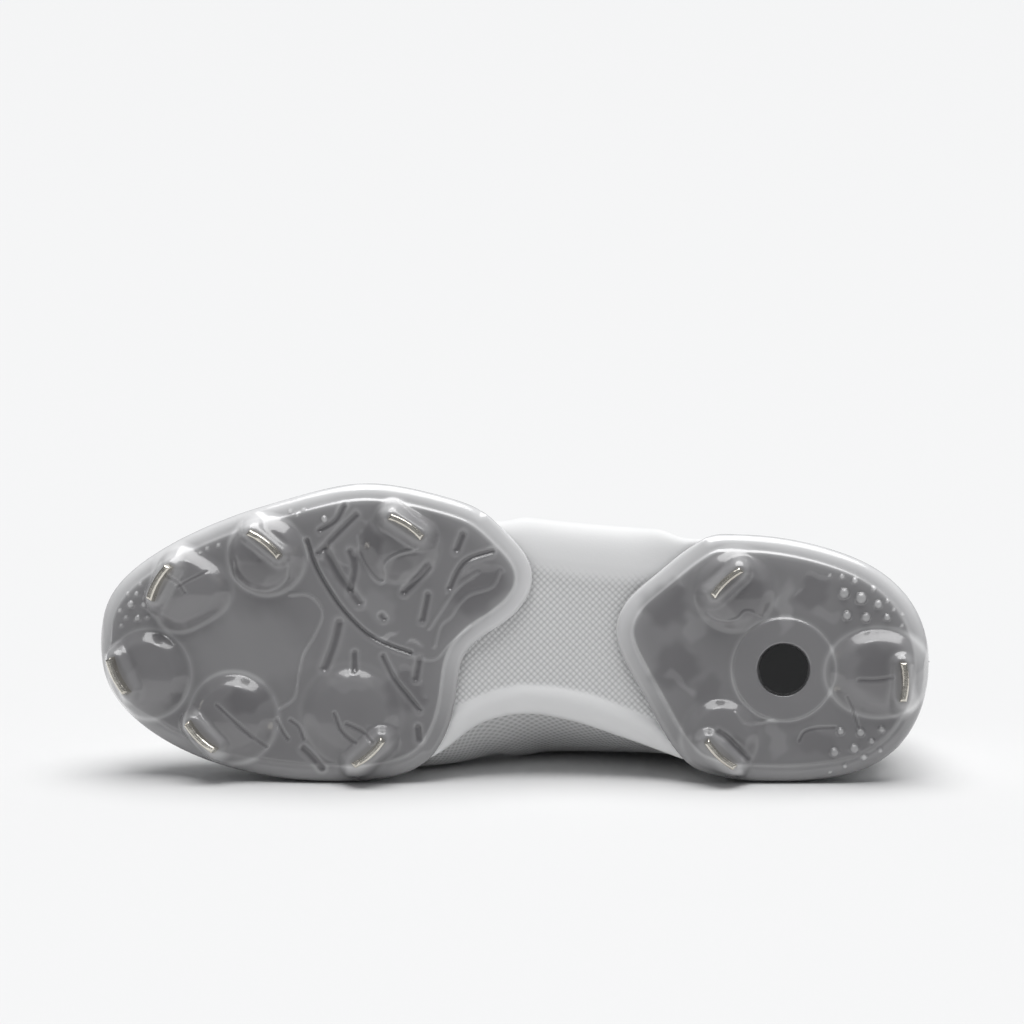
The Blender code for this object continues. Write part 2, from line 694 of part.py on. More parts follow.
def lace_tube(name, start, end_row, home):
    """One run of lace from on top of an eyelet, over the tongue, to the far edge of the throat."""
    lift = EYESTAY_THICKNESS + CLEARANCE * 2 + LACE_RADIUS + LACE_CLEARANCE
    ups = np.linspace(start[1], 0.99, 3)
    near, near_normal, near_rise = upper_frame(np.full(3, start[0]), ups)
    near = near + near_normal * lift
    far, far_normal, far_rise = upper_frame(np.array(end_row), np.array(0.99))
    far = far + far_normal * lift
    span = np.linalg.norm(far - near[-1])
    reach = (TONGUE_CROWN + LACE_SLACK) * span
    route = [near[0]]
    for t in np.linspace(0, 0.97, 5):
        route.append(bezier(near[-1], near[-1] + near_rise[-1] * reach, far + far_rise * reach, far, t))
    curve = bpy.data.curves.new(name, "CURVE")
    curve.dimensions = "3D"
    curve.bevel_depth = LACE_RADIUS
    curve.bevel_resolution = 1
    curve.use_fill_caps = True
    line = curve.splines.new("POLY")
    line.points.add(len(route) - 1)
    for point, place in zip(line.points, route):
        point.co = (*place, 1.0)
    obj = bpy.data.objects.new(name, curve)
    home.objects.link(obj)
    bpy.context.view_layer.update()
    mesh = bpy.data.meshes.new_from_object(obj.evaluated_get(bpy.context.evaluated_depsgraph_get()))
    bpy.data.objects.remove(obj)
    work = bmesh.new()
    work.from_mesh(mesh)
    bmesh.ops.remove_doubles(work, verts=work.verts, dist=1e-6)
    return closed_mesh(work, name)


def build_laces(home, helpers):
    """Crossings of the lace over the tongue, each two runs joined in the middle."""
    places = eyelet_places()
    outer, inner = places[:EYELET_PAIRS], places[EYELET_PAIRS:]
    for k in range(EYELET_PAIRS - 1):
        dive = outer[k][0] + LACE_STAGGER
        across = lace_tube("run", outer[k + 1], inner_row(dive), home)
        back = lace_tube("run", inner[k + 1], dive, home)
        first = piece(f"lace_crossing_{k + 1}", across, "lace", home)
        second = cutter(f"lace_run_{k + 1}", back, helpers)
        first.data = baked(first, [boolean("UNION", second)])


def plate_outline(edge_ends, edge_rows, towards_toe):
    """Flat outline (s, w) of a plate: the sole's own edge, closed by the free edge across the arch."""
    inner_end, outer_end = turn_of(np.array(edge_ends))
    turns = loop_turns(SOLE_STATIONS)
    margin = 0.004
    if towards_toe:
        kept = turns[(turns > outer_end + margin) & (turns < 2 - inner_end - margin)]
        rim = np.concatenate([[outer_end], kept, [2 - inner_end]])
    else:
        back = np.where(turns > 1, turns - 2, turns)
        kept = np.sort(back[(back > -inner_end + margin) & (back < outer_end - margin)])
        rim = np.concatenate([[-inner_end], kept, [outer_end]])
    border = plan_point(rim)
    free = np.array([(LENGTH * row.station, BALL_WIDTH * row.reach) for row in edge_rows])
    inner_corner, outer_corner = (border[-1], border[0]) if towards_toe else (border[0], border[-1])
    line = np.vstack([inner_corner, free, outer_corner])
    fine = np.linspace(0, len(line) - 1, 2 * len(line) - 1)[1:-1]
    smooth_line = np.column_stack([spline(np.arange(len(line)), line[:, k], fine) for k in (0, 1)])
    return np.vstack([border, smooth_line if towards_toe else smooth_line[::-1]])


def offset_outline(outline, inset):
    """The same closed outline moved inwards along its normals."""
    ahead = np.roll(outline, -1, axis=0)
    behind = np.roll(outline, 1, axis=0)
    along = ahead - behind
    across = np.column_stack([-along[:, 1], along[:, 0]])
    across /= np.linalg.norm(across, axis=1, keepdims=True)
    area = np.sum(outline[:, 0] * ahead[:, 1] - ahead[:, 0] * outline[:, 1])
    return outline + across * inset * np.sign(area)


def prism(outline, low, high, rounding=0.0, segments=1):
    """A flat slab with this outline, its lower edge rounded."""
    work = bmesh.new()
    corners = [work.verts.new((s, w, low)) for s, w in outline]
    floor = work.faces.new(corners)
    raised = bmesh.ops.extrude_face_region(work, geom=[floor])["geom"]
    bmesh.ops.translate(
        work, verts=[v for v in raised if isinstance(v, bmesh.types.BMVert)], vec=(0, 0, high - low)
    )
    if rounding:
        rim = [e for e in work.edges if all(abs(v.co.z - low) < 1e-9 for v in e.verts)]
        bmesh.ops.bevel(work, geom=rim, offset=rounding, segments=segments, profile=0.5, affect="EDGES")
    return closed_mesh(work, "slab")


def mound(centre, half_length, half_width, height, turn_deg, segments):
    """Half of a flattened ball under the plate, cut level inside it."""
    work = bmesh.new()
    place = Matrix.Translation((*centre, 0.0)) @ Matrix.Rotation(math.radians(turn_deg), 4, "Z")
    size = Matrix.Diagonal((half_length, half_width, height, 1.0))
    bmesh.ops.create_uvsphere(
        work, u_segments=segments, v_segments=segments // 2, radius=1.0, matrix=place @ size
    )
    level = 0.45 * PLATE_THICKNESS
    everything = list(work.verts) + list(work.edges) + list(work.faces)
    cut = bmesh.ops.bisect_plane(
        work, geom=everything, plane_co=(0, 0, level), plane_no=(0, 0, 1), clear_outer=True
    )
    edges = [e for e in cut["geom_cut"] if isinstance(e, bmesh.types.BMEdge)]
    bmesh.ops.holes_fill(work, edges=edges)
    return closed_mesh(work, "mound")


def disc(centre, radius, low, high, segments):
    """A short upright cylinder."""
    work = bmesh.new()
    bmesh.ops.create_cone(
        work,
        cap_ends=True,
        segments=segments,
        radius1=radius,
        radius2=radius,
        depth=high - low,
        matrix=Matrix.Translation((*centre, (low + high) / 2)),
    )
    return closed_mesh(work, "disc")


def blade(pod, grown):
    """A stud: a bowed steel blade, narrower at its tip. grown widens it all round, for its socket."""
    work = bmesh.new()
    root = -BOSS_HEIGHT + STUD_ROOT + grown
    tip = -STUD_REACH - 8 * grown
    bmesh.ops.create_cube(work, size=1.0)
    length = STUD_LENGTH + 2 * grown
    thickness = STUD_THICKNESS + 2 * grown
    for vert in work.verts:
        vert.co = Vector((vert.co.x * length, vert.co.y * thickness, root if vert.co.z > 0 else tip))
    for share in (-0.3, -0.1, 0.1, 0.3):
        everything = list(work.verts) + list(work.edges) + list(work.faces)
        bmesh.ops.bisect_plane(work, geom=everything, plane_co=(share * length, 0, 0), plane_no=(1, 0, 0))
    if not grown:
        rim = [e for e in work.edges if all(v.co.z < tip + 1e-9 for v in e.verts) and len(e.link_faces) == 2]
        rim = [e for e in rim if any(abs(f.normal.z) < 0.5 for f in e.link_faces)]
        bmesh.ops.bevel(work, geom=rim, offset=STUD_ROUNDING, segments=1, affect="EDGES")
    turn = math.radians(pod.turn_deg)
    centre = Vector((LENGTH * pod.stud_at, BALL_WIDTH * pod.stud_reach, 0))
    outward = centre - Vector((LENGTH * pod.dome_at, BALL_WIDTH * pod.dome_reach, 0))
    side = Vector((-math.sin(turn), math.cos(turn), 0))
    bow = STUD_CURVE if outward.dot(side) >= 0 else -STUD_CURVE
    for vert in work.verts:
        down = (root - vert.co.z) / (root - tip)
        x = vert.co.x * (1 - (1 - STUD_TAPER) * down)
        y = vert.co.y + bow * (1 - (2 * x / STUD_LENGTH) ** 2)
        spot = centre + Vector((math.cos(turn), math.sin(turn), 0)) * x + side * y
        vert.co = Vector((spot.x, spot.y, vert.co.z))
    return closed_mesh(work, "blade")


def bent_mesh(mesh):
    """The flat mesh sliced across the sole wherever it bends, and then bent."""
    work = bmesh.new()
    work.from_mesh(mesh)
    bmesh.ops.triangulate(work, faces=work.faces)
    arch = np.linspace(*ARCH_SPAN, ARCH_SLICES + 1)
    spring = np.linspace(TOE_SPRING_START, 1, SPRING_SLICES, endpoint=False)
    stations = LENGTH * np.concatenate([arch, spring])
    for station in stations:
        everything = list(work.verts) + list(work.edges) + list(work.faces)
        bmesh.ops.bisect_plane(work, geom=everything, plane_co=(station, 0, 0), plane_no=(1, 0, 0))
    spare = [
        edge
        for edge in work.edges
        if not any(all(abs(v.co.x - station) < SLICE_REACH for v in edge.verts) for station in stations)
    ]
    bmesh.ops.dissolve_limit(
        work, angle_limit=FLAT_ANGLE, use_dissolve_boundaries=False, verts=work.verts, edges=spare
    )
    bmesh.ops.triangulate(work, faces=work.faces)
    flat = np.array([v.co for v in work.verts])
    for vert, place in zip(work.verts, bend(flat)):
        vert.co = Vector(place)
    result = bpy.data.meshes.new("bent")
    work.to_mesh(result)
    work.free()
    return result


def build_plate(name, outline, pods, home, helpers, extra=()):
    """A moulded sole plate: slab, raised field, a dome and a boss for each stud, and the studs' sockets."""
    steps = []
    field = cutter(
        f"{name}_field",
        prism(offset_outline(outline, FIELD_MARGIN), -FIELD_STEP, 0.4 * PLATE_THICKNESS, FIELD_ROUNDING),
        helpers,
    )
    steps.append(boolean("UNION", field))
    for pod in pods:
        centre = (LENGTH * pod.dome_at, BALL_WIDTH * pod.dome_reach)
        radius = BALL_WIDTH * pod.dome_radius
        dome = mound(centre, radius, radius, DOME_HEIGHT, 0, DOME_SEGMENTS)
        steps.append(boolean("UNION", cutter(f"{pod.name}_dome", dome, helpers)))
        stud_at = (LENGTH * pod.stud_at, BALL_WIDTH * pod.stud_reach)
        boss = mound(stud_at, BOSS_LENGTH, BOSS_WIDTH, BOSS_HEIGHT, pod.turn_deg, BOSS_SEGMENTS)
        steps.append(boolean("UNION", cutter(f"{pod.name}_boss", boss, helpers)))
    steps += extra
    well = cutter(f"{name}_well", sole_well(), helpers)
    steps.append(boolean("DIFFERENCE", well))
    for pod in pods:
        steps.append(boolean("DIFFERENCE", cutter(f"{pod.name}_socket", blade(pod, CLEARANCE), helpers)))
    slab = piece(name, prism(outline, 0.0, PLATE_THICKNESS + RIM_HEIGHT, PLATE_ROUNDING, 2), name, home)
    slab.data = bent_mesh(baked(slab, steps))
    slab.data.materials.clear()
    slab.data.materials.append(finish_for(name))
    return slab


def sole_well():
    """The space that the midsole fills inside the plates' rims."""
    plan = inset_plan(loop_turns(SOLE_STATIONS), np.full(2 * SOLE_STATIONS, RIM_WALL))
    return prism(plan, PLATE_THICKNESS, PLATE_THICKNESS + 4 * RIM_HEIGHT)


def build_soles(home, helpers):
    """Both plates, the plain round inlay of the heel, and the studs."""
    forefoot = plate_outline(FOREFOOT_EDGE_ENDS, FOREFOOT_EDGE, True)
    heel = plate_outline(HEEL_EDGE_ENDS, HEEL_EDGE, False)
    ring_at = (LENGTH * RING_AT.station, BALL_WIDTH * RING_AT.reach)
    ring = disc(ring_at, RING_RADIUS, -RING_STEP, 0.4 * PLATE_THICKNESS, 32)
    pocket_floor = -RING_STEP + BADGE_THICKNESS + CLEARANCE
    pocket = disc(ring_at, BADGE_RADIUS + CLEARANCE, -2 * RING_STEP, pocket_floor, 24)
    extra = [
        boolean("UNION", cutter("heel_ring", ring, helpers)),
        boolean("DIFFERENCE", cutter("heel_pocket", pocket, helpers)),
    ]
    build_plate("forefoot_plate", forefoot, [p for p in PODS if p.plate == "forefoot"], home, helpers)
    build_plate("heel_plate", heel, [p for p in PODS if p.plate == "heel"], home, helpers, extra)
    badge = disc(ring_at, BADGE_RADIUS, -RING_STEP, -RING_STEP + BADGE_THICKNESS, 24)
    piece("heel_badge", bent_mesh(badge), "heel_badge", home)
    for pod in PODS:
        mesh = blade(pod, 0)
        work = bmesh.new()
        work.from_mesh(mesh)
        for vert, place in zip(work.verts, bend(np.array([v.co for v in work.verts]))):
            vert.co = Vector(place)
        work.to_mesh(mesh)
        work.free()
        piece(f"stud_{pod.name}", mesh, "stud", home)


def volume_and_centre(mesh):
    """Volume and centre of a closed mesh."""
    mesh.calc_loop_triangles()
    points = np.array([v.co for v in mesh.vertices])
    corners = points[np.array([t.vertices for t in mesh.loop_triangles])]
    parts = np.einsum("ij,ij->i", corners[:, 0], np.cross(corners[:, 1], corners[:, 2])) / 6
    return parts.sum(), (corners.sum(axis=1) / 4 * parts[:, None]).sum(axis=0) / parts.sum()


def resting_direction(pieces):
    """Downward direction, in the shoe's own axes, when the shoe has come to rest on its inner side."""
    points = np.concatenate([[v.co for v in obj.data.vertices] for obj in pieces])
    weighed = [volume_and_centre(obj.data) for obj in pieces]
    total = sum(volume for volume, _ in weighed)
    centre = sum(volume * place for volume, place in weighed) / total
    work = bmesh.new()
    for point in points:
        work.verts.new(point)
    bmesh.ops.convex_hull(work, input=work.verts, use_existing_faces=False)
    bmesh.ops.recalc_face_normals(work, faces=work.faces)
    planes = [(np.array(f.normal), np.array(f.verts[0].co)) for f in work.faces if f.calc_area() > 0]
    work.free()
    normals = np.array([n for n, _ in planes])
    heights = np.einsum("ij,ij->i", normals, np.array([p for _, p in planes]) - centre)
    down = np.array([0.0, -1.0, 0.0])
    for _ in range(20):
        facing = normals @ down
        distance = np.where(facing > 1e-6, heights / np.maximum(facing, 1e-6), np.inf)
        settled = normals[int(np.argmin(distance))]
        if np.allclose(settled, down, atol=1e-7):
            break
        down = settled
    return Vector(down).normalized()


def lay_down(pieces):
    """Turns the shoe onto its inner side and centres it over the origin, toe towards -X."""
    down = resting_direction(pieces)
    forward = Vector((1, 0, 0))
    forward = (forward - down * forward.dot(down)).normalized()
    behind = -forward
    up = -down
    turn = Matrix((behind, up.cross(behind), up)).to_4x4()
    points = np.concatenate([[turn @ v.co for v in obj.data.vertices] for obj in pieces])
    low, high = points.min(axis=0), points.max(axis=0)
    middle = (low + high) / 2
    place = Matrix.Translation((-middle[0], -middle[1], -low[2])) @ turn
    holder = bpy.data.objects.new("laid_on_its_side", None)
    bpy.context.scene.collection.objects.link(holder)
    holder.matrix_world = place
    for obj in pieces:
        obj.parent = holder
    bpy.context.view_layer.update()


def shade(pieces):
    """Smooth shading with crisp corners."""
    for obj in pieces:
        obj.data.shade_smooth()
        obj.data.set_sharp_from_angle(angle=math.radians(38))


def main():
    """Builds the cleat."""
    clear_scene()
    home = collection_named("baseball_cleat")
    helpers = collection_named("cutters")
    build_midsole(home)
    build_insole(home)
    pins = eyelet_cutters(helpers)
    build_upper(home, pins)
    build_eyestay(home, pins)
    build_tongue(home)
    build_laces(home, helpers)
    build_soles(home, helpers)
    pieces = list(home.objects)
    shade(pieces)
    lay_down(pieces)


main()
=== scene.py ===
"""Looks of a low baseball cleat for the left foot, lying on its inner side with its sole to the camera.

Pieces are drawn flat on the last, as s along the sole from heel to toe, w across it towards the outer side
and h up from the plates' underside, and are then bent and laid down where the frame's own pieces lie.
"""

import logging
import math
from contextlib import contextmanager
from dataclasses import dataclass
from enum import Enum
from typing import Iterable, Iterator, Sequence

import bpy
import numpy as np
from mathutils import Euler, Matrix, Vector

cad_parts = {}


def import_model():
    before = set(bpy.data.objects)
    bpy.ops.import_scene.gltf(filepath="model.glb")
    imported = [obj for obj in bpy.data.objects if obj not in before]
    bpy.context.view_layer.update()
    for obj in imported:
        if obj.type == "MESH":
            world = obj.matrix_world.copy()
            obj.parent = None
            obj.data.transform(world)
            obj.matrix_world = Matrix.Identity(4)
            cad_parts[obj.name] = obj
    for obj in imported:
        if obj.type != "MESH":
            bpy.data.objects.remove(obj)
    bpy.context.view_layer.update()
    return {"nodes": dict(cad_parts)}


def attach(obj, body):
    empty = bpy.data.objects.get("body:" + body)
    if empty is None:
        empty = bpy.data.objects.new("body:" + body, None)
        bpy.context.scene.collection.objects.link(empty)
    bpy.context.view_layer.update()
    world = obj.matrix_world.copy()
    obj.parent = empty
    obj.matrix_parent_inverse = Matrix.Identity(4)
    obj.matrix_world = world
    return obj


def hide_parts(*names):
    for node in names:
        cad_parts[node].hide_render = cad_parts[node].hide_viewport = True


LOG = logging.getLogger("cleat")
BODY = "root"
MM = 0.001
WELD_WIDTH = 2e-6
NODE_WELD_WIDTH = 1e-6
NODE_BEVEL = 0.00022
TINY = 1e-12

Array = np.ndarray
Object = bpy.types.Object
Material = bpy.types.Material
Socket = bpy.types.NodeSocket


class Side(Enum):
    """The two sides of the shoe."""

    OUTER = 1
    INNER = -1


class Relief(Enum):
    """How a mark stands on a sole plate."""

    GROOVE = -1
    RIDGE = 1


def spline(knots: Sequence[float], values: Sequence[float], at: Array) -> Array:
    """Reads a smooth curve through unevenly spaced knots.

    Args:
        knots: where the values lie, rising.
        values: the curve's value at each knot.
        at: where to read it.

    Returns:
        The curve's values there.
    """
    knots = np.asarray(knots, float)
    values = np.asarray(values, float)
    at = np.asarray(at, float)
    slopes = np.gradient(values, knots)
    i = np.clip(np.searchsorted(knots, at, side="right") - 1, 0, len(knots) - 2)
    span = knots[i + 1] - knots[i]
    t = (at - knots[i]) / span
    low = (1 + 2 * t) * (1 - t) ** 2 * values[i] + t * (1 - t) ** 2 * span * slopes[i]
    high = t**2 * (3 - 2 * t) * values[i + 1] + t**2 * (t - 1) * span * slopes[i + 1]
    return low + high


def looped(values: Array, at: Array, lap: float = 0.0) -> Array:
    """Reads a smooth closed curve with a value at each whole number, which grows by lap each time round."""
    pad = 3
    wrapped = np.concatenate([values[-pad:] - lap, values, values[: pad + 1] + lap])
    return spline(np.arange(-pad, len(values) + pad + 1), wrapped, at)


def smooth(low: float, high: float, value: Array) -> Array:
    """Rises evenly from 0 at low to 1 at high."""
    t = np.clip((np.asarray(value, float) - low) / (high - low), 0.0, 1.0)
    return t * t * (3 - 2 * t)


@dataclass(frozen=True)
class Last:
    """The last that the shoe is made on, and how the shoe lies on the floor."""

    length: float = 0.3045
    ball_width: float = 0.106
    instep_height: float = 0.098
    heel_stack: float = 0.0245
    forefoot_stack: float = 0.013
    spring_start: float = 0.66
    spring_deg: float = 21.0
    arch_lift: float = 0.005
    arch_span: tuple[float, float] = (0.27, 0.60)
    clearance: float = 0.0003
    seat_clearance: float = 0.0005
    rim_wall: float = 0.0018
    arch_flare: float = 0.0030
    flare_from: tuple[float, float] = (0.285, 0.325)
    flare_to: tuple[float, float] = (0.475, 0.515)
    midsole_lean: float = 0.0010
    feather_inset: float = 0.0012
    down: tuple[float, float, float] = (-0.0004891, -0.9927027, 0.1205862)
    origin: tuple[float, float, float] = (0.1508118, -0.0533349, 0.0449979)

    # Plan of the sole: station as a share of length, inner and outer edge as shares of ball_width
    plan: tuple[tuple[float, float, float], ...] = (
        (0.0000, -0.009, -0.009),
        (0.0120, -0.195, 0.147),
        (0.0360, -0.301, 0.245),
        (0.0720, -0.374, 0.321),
        (0.1200, -0.409, 0.375),
        (0.1900, -0.420, 0.416),
        (0.2400, -0.410, 0.424),
        (0.2850, -0.372, 0.428),
        (0.3580, -0.300, 0.440),
        (0.4300, -0.235, 0.457),
        (0.4750, -0.214, 0.472),
        (0.5300, -0.245, 0.496),
        (0.5800, -0.345, 0.532),
        (0.6300, -0.402, 0.565),
        (0.6700, -0.418, 0.579),
        (0.7200, -0.420, 0.562),
        (0.7650, -0.412, 0.532),
        (0.8110, -0.392, 0.499),
        (0.8580, -0.357, 0.452),
        (0.9090, -0.297, 0.386),
        (0.9500, -0.226, 0.315),
        (0.9800, -0.145, 0.240),
        (0.9965, -0.055, 0.150),
        (1.0000, 0.045, 0.045),
    )
    # Height of the midsole's top between forefoot and heel, by share of length
    stack: tuple[tuple[float, float], ...] = (
        (0.00, 1.00),
        (0.14, 0.98),
        (0.30, 0.78),
        (0.45, 0.45),
        (0.62, 0.12),
        (0.76, 0.00),
        (1.00, 0.00),
    )
    # Ribs of the upper, heel to toe: base and top stations, outer and inner half-width at the top,
    # top height, outer and inner bulge, rise, outer and inner reach, and drop
    ribs: tuple[tuple[float, ...], ...] = (
        (0.000, 0.030, 0.000, 0.000, 0.920, 0.058, 0.058, 0.30, -0.030, -0.030, 0.33),
        (0.022, 0.046, 0.155, 0.155, 0.880, 0.046, 0.036, 0.30, -0.020, -0.020, 0.33),
        (0.085, 0.100, 0.268, 0.276, 0.770, 0.036, 0.008, 0.34, 0.012, 0.012, 0.34),
        (0.180, 0.195, 0.300, 0.330, 0.705, 0.030, -0.005, 0.36, 0.030, 0.020, 0.34),
        (0.300, 0.310, 0.276, 0.312, 0.790, 0.040, 0.050, 0.36, 0.060, 0.045, 0.30),
        (0.420, 0.410, 0.202, 0.212, 1.000, 0.040, 0.230, 0.34, 0.120, 0.160, 0.20),
        (0.520, 0.497, 0.152, 0.152, 0.930, 0.034, 0.300, 0.34, 0.145, 0.200, 0.24),
        (0.620, 0.583, 0.127, 0.127, 0.812, 0.020, 0.110, 0.38, 0.170, 0.160, 0.20),
        (0.730, 0.659, 0.100, 0.100, 0.700, 0.012, 0.010, 0.44, 0.190, 0.145, 0.18),
        (0.840, 0.703, 0.068, 0.068, 0.634, 0.012, 0.006, 0.50, 0.210, 0.190, 0.15),
        (0.940, 0.720, 0.034, 0.034, 0.604, 0.014, 0.010, 0.52, 0.260, 0.260, 0.13),
        (1.000, 0.726, 0.000, 0.000, 0.596, 0.014, 0.014, 0.52, 0.320, 0.320, 0.12),
    )

    @property
    def rows(self) -> int:
        """Number of the toe's row."""
        return len(self.ribs) - 1

    def turn_of(self, station: Array) -> Array:
        """Share of length as a turn from 0 at the heel to 1 at the toe."""
        return np.arccos(1 - 2 * np.clip(station, 0, 1)) / math.pi

    def station_of(self, turn: Array) -> Array:
        """Share of length at a turn round the outline."""
        return (1 - np.cos(math.pi * np.asarray(turn, float))) / 2

    def plan_point(self, turn: Array) -> Array:
        """Points (s, w) on the sole's outline, up the outer side for turns 0 to 1 and back for 1 to 2."""
        turn = np.mod(turn, 2.0)
        folded = np.where(turn <= 1, turn, 2 - turn)
        knots = self.turn_of(np.array([row[0] for row in self.plan]))
        inner = spline(knots, [row[1] for row in self.plan], folded)
        outer = spline(knots, [row[2] for row in self.plan], folded)
        reach = np.where(turn <= 1, outer, inner)
        return np.stack([self.length * self.station_of(folded), self.ball_width * reach], axis=-1)

    def plan_normal(self, turn: Array) -> Array:
        """Outward directions (s, w) at the outline."""
        step = 0.004
        along = self.plan_point(turn + step) - self.plan_point(turn - step)
        across = np.stack([-along[..., 1], along[..., 0]], axis=-1)
        return across / np.linalg.norm(across, axis=-1, keepdims=True)

    def inset_plan(self, turn: Array, inset: Array) -> Array:
        """Points (s, w) inside the outline by inset."""
        return self.plan_point(turn) - self.plan_normal(turn) * np.asarray(inset)[..., None]

    def side_inset(self, turn: Array) -> Array:
        """How far the midsole's side stays inside the outline."""
        station = self.station_of(turn)
        outer = np.where(np.mod(turn, 2.0) <= 1, 1.0, 0.0)
        between = smooth(*self.flare_from, station) * (1 - smooth(*self.flare_to, station))
        return self.rim_wall + self.clearance - self.arch_flare * outer * between

    def stack_height(self, station: Array) -> Array:
        """Height of the midsole's top."""
        share = spline([row[0] for row in self.stack], [row[1] for row in self.stack], station)
        return self.forefoot_stack + (self.heel_stack - self.forefoot_stack) * share

    def spring(self) -> tuple[float, float]:
        """Start and radius of the toe spring."""
        start = self.spring_start * self.length
        return start, (self.length - start) / math.radians(self.spring_deg)

    def arch_rise(self, s: Array) -> Array:
        """How far the arch lifts the sole."""
        low, high = self.arch_span
        through = np.clip((s / self.length - low) / (high - low), 0, 1)
        return self.arch_lift * np.sin(math.pi * through) ** 2

    def bend(self, points: Array) -> Array:
        """Carries flat points (s, w, h) to the bent shoe."""
        s, w, h = points[..., 0], points[..., 1], points[..., 2]
        start, radius = self.spring()
        angle = np.maximum(s - start, 0) / radius
        x = np.minimum(s, start) + (radius - h) * np.sin(angle)
        return np.stack([x, w, radius - (radius - h) * np.cos(angle) + self.arch_rise(s)], axis=-1)

    def unbend(self, points: Array) -> Array:
        """Carries points of the bent shoe back to the flat layout."""
        x, w, height = points[..., 0], points[..., 1], points[..., 2]
        start, radius = self.spring()
        angle = np.arctan2(np.maximum(x - start, 0), radius - height)
        ahead = x > start
        from_centre = np.hypot(x - start, radius - height)
        s = np.where(ahead, start + angle * radius, x)
        h = np.where(ahead, radius - from_centre, height - self.arch_rise(x))
        return np.stack([s, w, h], axis=-1)

    def axes(self) -> Array:
        """Rows that turn the shoe's own axes into the frame's."""
        down = Vector(self.down).normalized()
        forward = Vector((1, 0, 0))
        forward = (forward - down * forward.dot(down)).normalized()
        return np.array([tuple(-forward), tuple((-down).cross(-forward)), tuple(-down)])

    def lay(self, points: Array) -> Array:
        """Carries points of the bent shoe to where it lies."""
        return points @ self.axes().T + np.array(self.origin)

    def stand(self, points: Array) -> Array:
        """Carries points of the frame back to the bent shoe."""
        return (points - np.array(self.origin)) @ self.axes()

    def place(self, points: Array) -> Array:
        """Carries flat points to the frame."""
        return self.lay(self.bend(np.asarray(points, float)))

    def _column(self, row: Array, outer: int, inner: int, sign: float = 1.0) -> Array:
        """Reads a column of ribs at rows counted up the outer side and back down the inner side."""
        values = [rib[outer] for rib in self.ribs] + [sign * rib[inner] for rib in self.ribs][-2:0:-1]
        return looped(np.array(values), np.mod(row, len(values)))

    def rib_turn(self, row: Array) -> Array:
        """Turn of a rib's foot round the outline."""
        feet = self.turn_of(np.array([rib[0] for rib in self.ribs]))
        return looped(np.concatenate([feet, 2 - feet[-2:0:-1]]), row, lap=2.0)

    def surface(self, row: Array, up: Array) -> Array:
        """Outer face of the upper, flat.

        Args:
            row: rib round the shoe, 0 at the heel.
            up: 0 at the midsole and 1 at the topline.

        Returns:
            Flat points (s, w, h).
        """
        row, up = np.broadcast_arrays(np.asarray(row, float), np.asarray(up, float))
        turn = self.rib_turn(row)
        foot = self.inset_plan(turn, self.side_inset(turn) + self.midsole_lean + self.feather_inset)
        foot_height = self.stack_height(foot[..., 0] / self.length) + self.seat_clearance
        top_height = self.instep_height * self._column(row, 4, 4)
        rise = top_height - foot_height
        normal = self.plan_normal(turn)
        out = np.concatenate([normal, np.zeros(normal.shape[:-1] + (1,))], axis=-1)
        lift = np.array([0.0, 0.0, 1.0])
        p0 = np.stack([foot[..., 0], foot[..., 1], foot_height], axis=-1)
        side = self.ball_width * self._column(row, 2, 3, -1.0)
        p3 = np.stack([self.length * self._column(row, 1, 1), side, top_height], axis=-1)
        bulge = (self.ball_width * self._column(row, 5, 6))[..., None]
        reach = (self.ball_width * self._column(row, 8, 9))[..., None]
        p1 = p0 + out * bulge + lift * (self._column(row, 7, 7) * rise)[..., None]
        p2 = p3 + out * reach - lift * (self._column(row, 10, 10) * rise)[..., None]
        t = up[..., None]
        u = 1 - t
        return u**3 * p0 + 3 * u**2 * t * p1 + 3 * u * t**2 * p2 + t**3 * p3

    def rib_frame(self, row: Array, up: Array) -> tuple[Array, Array, Array]:
        """Placed point, outward normal and upward tangent of the upper's outer face."""
        row, up = np.broadcast_arrays(np.asarray(row, float), np.asarray(up, float))
        step = 0.01
        here = self.place(self.surface(row, up))
        along = self.place(self.surface(row + step, up)) - self.place(self.surface(row - step, up))
        rising = self.place(self.surface(row, up + step)) - self.place(self.surface(row, up - step))
        normal = np.cross(rising, along)
        normal /= np.linalg.norm(normal, axis=-1, keepdims=True)
        return here, normal, rising / np.linalg.norm(rising, axis=-1, keepdims=True)

    def other_side(self, row: Array) -> Array:
        """The row of the other side that faces this one."""
        return 2 * self.rows - row


LAST = Last()


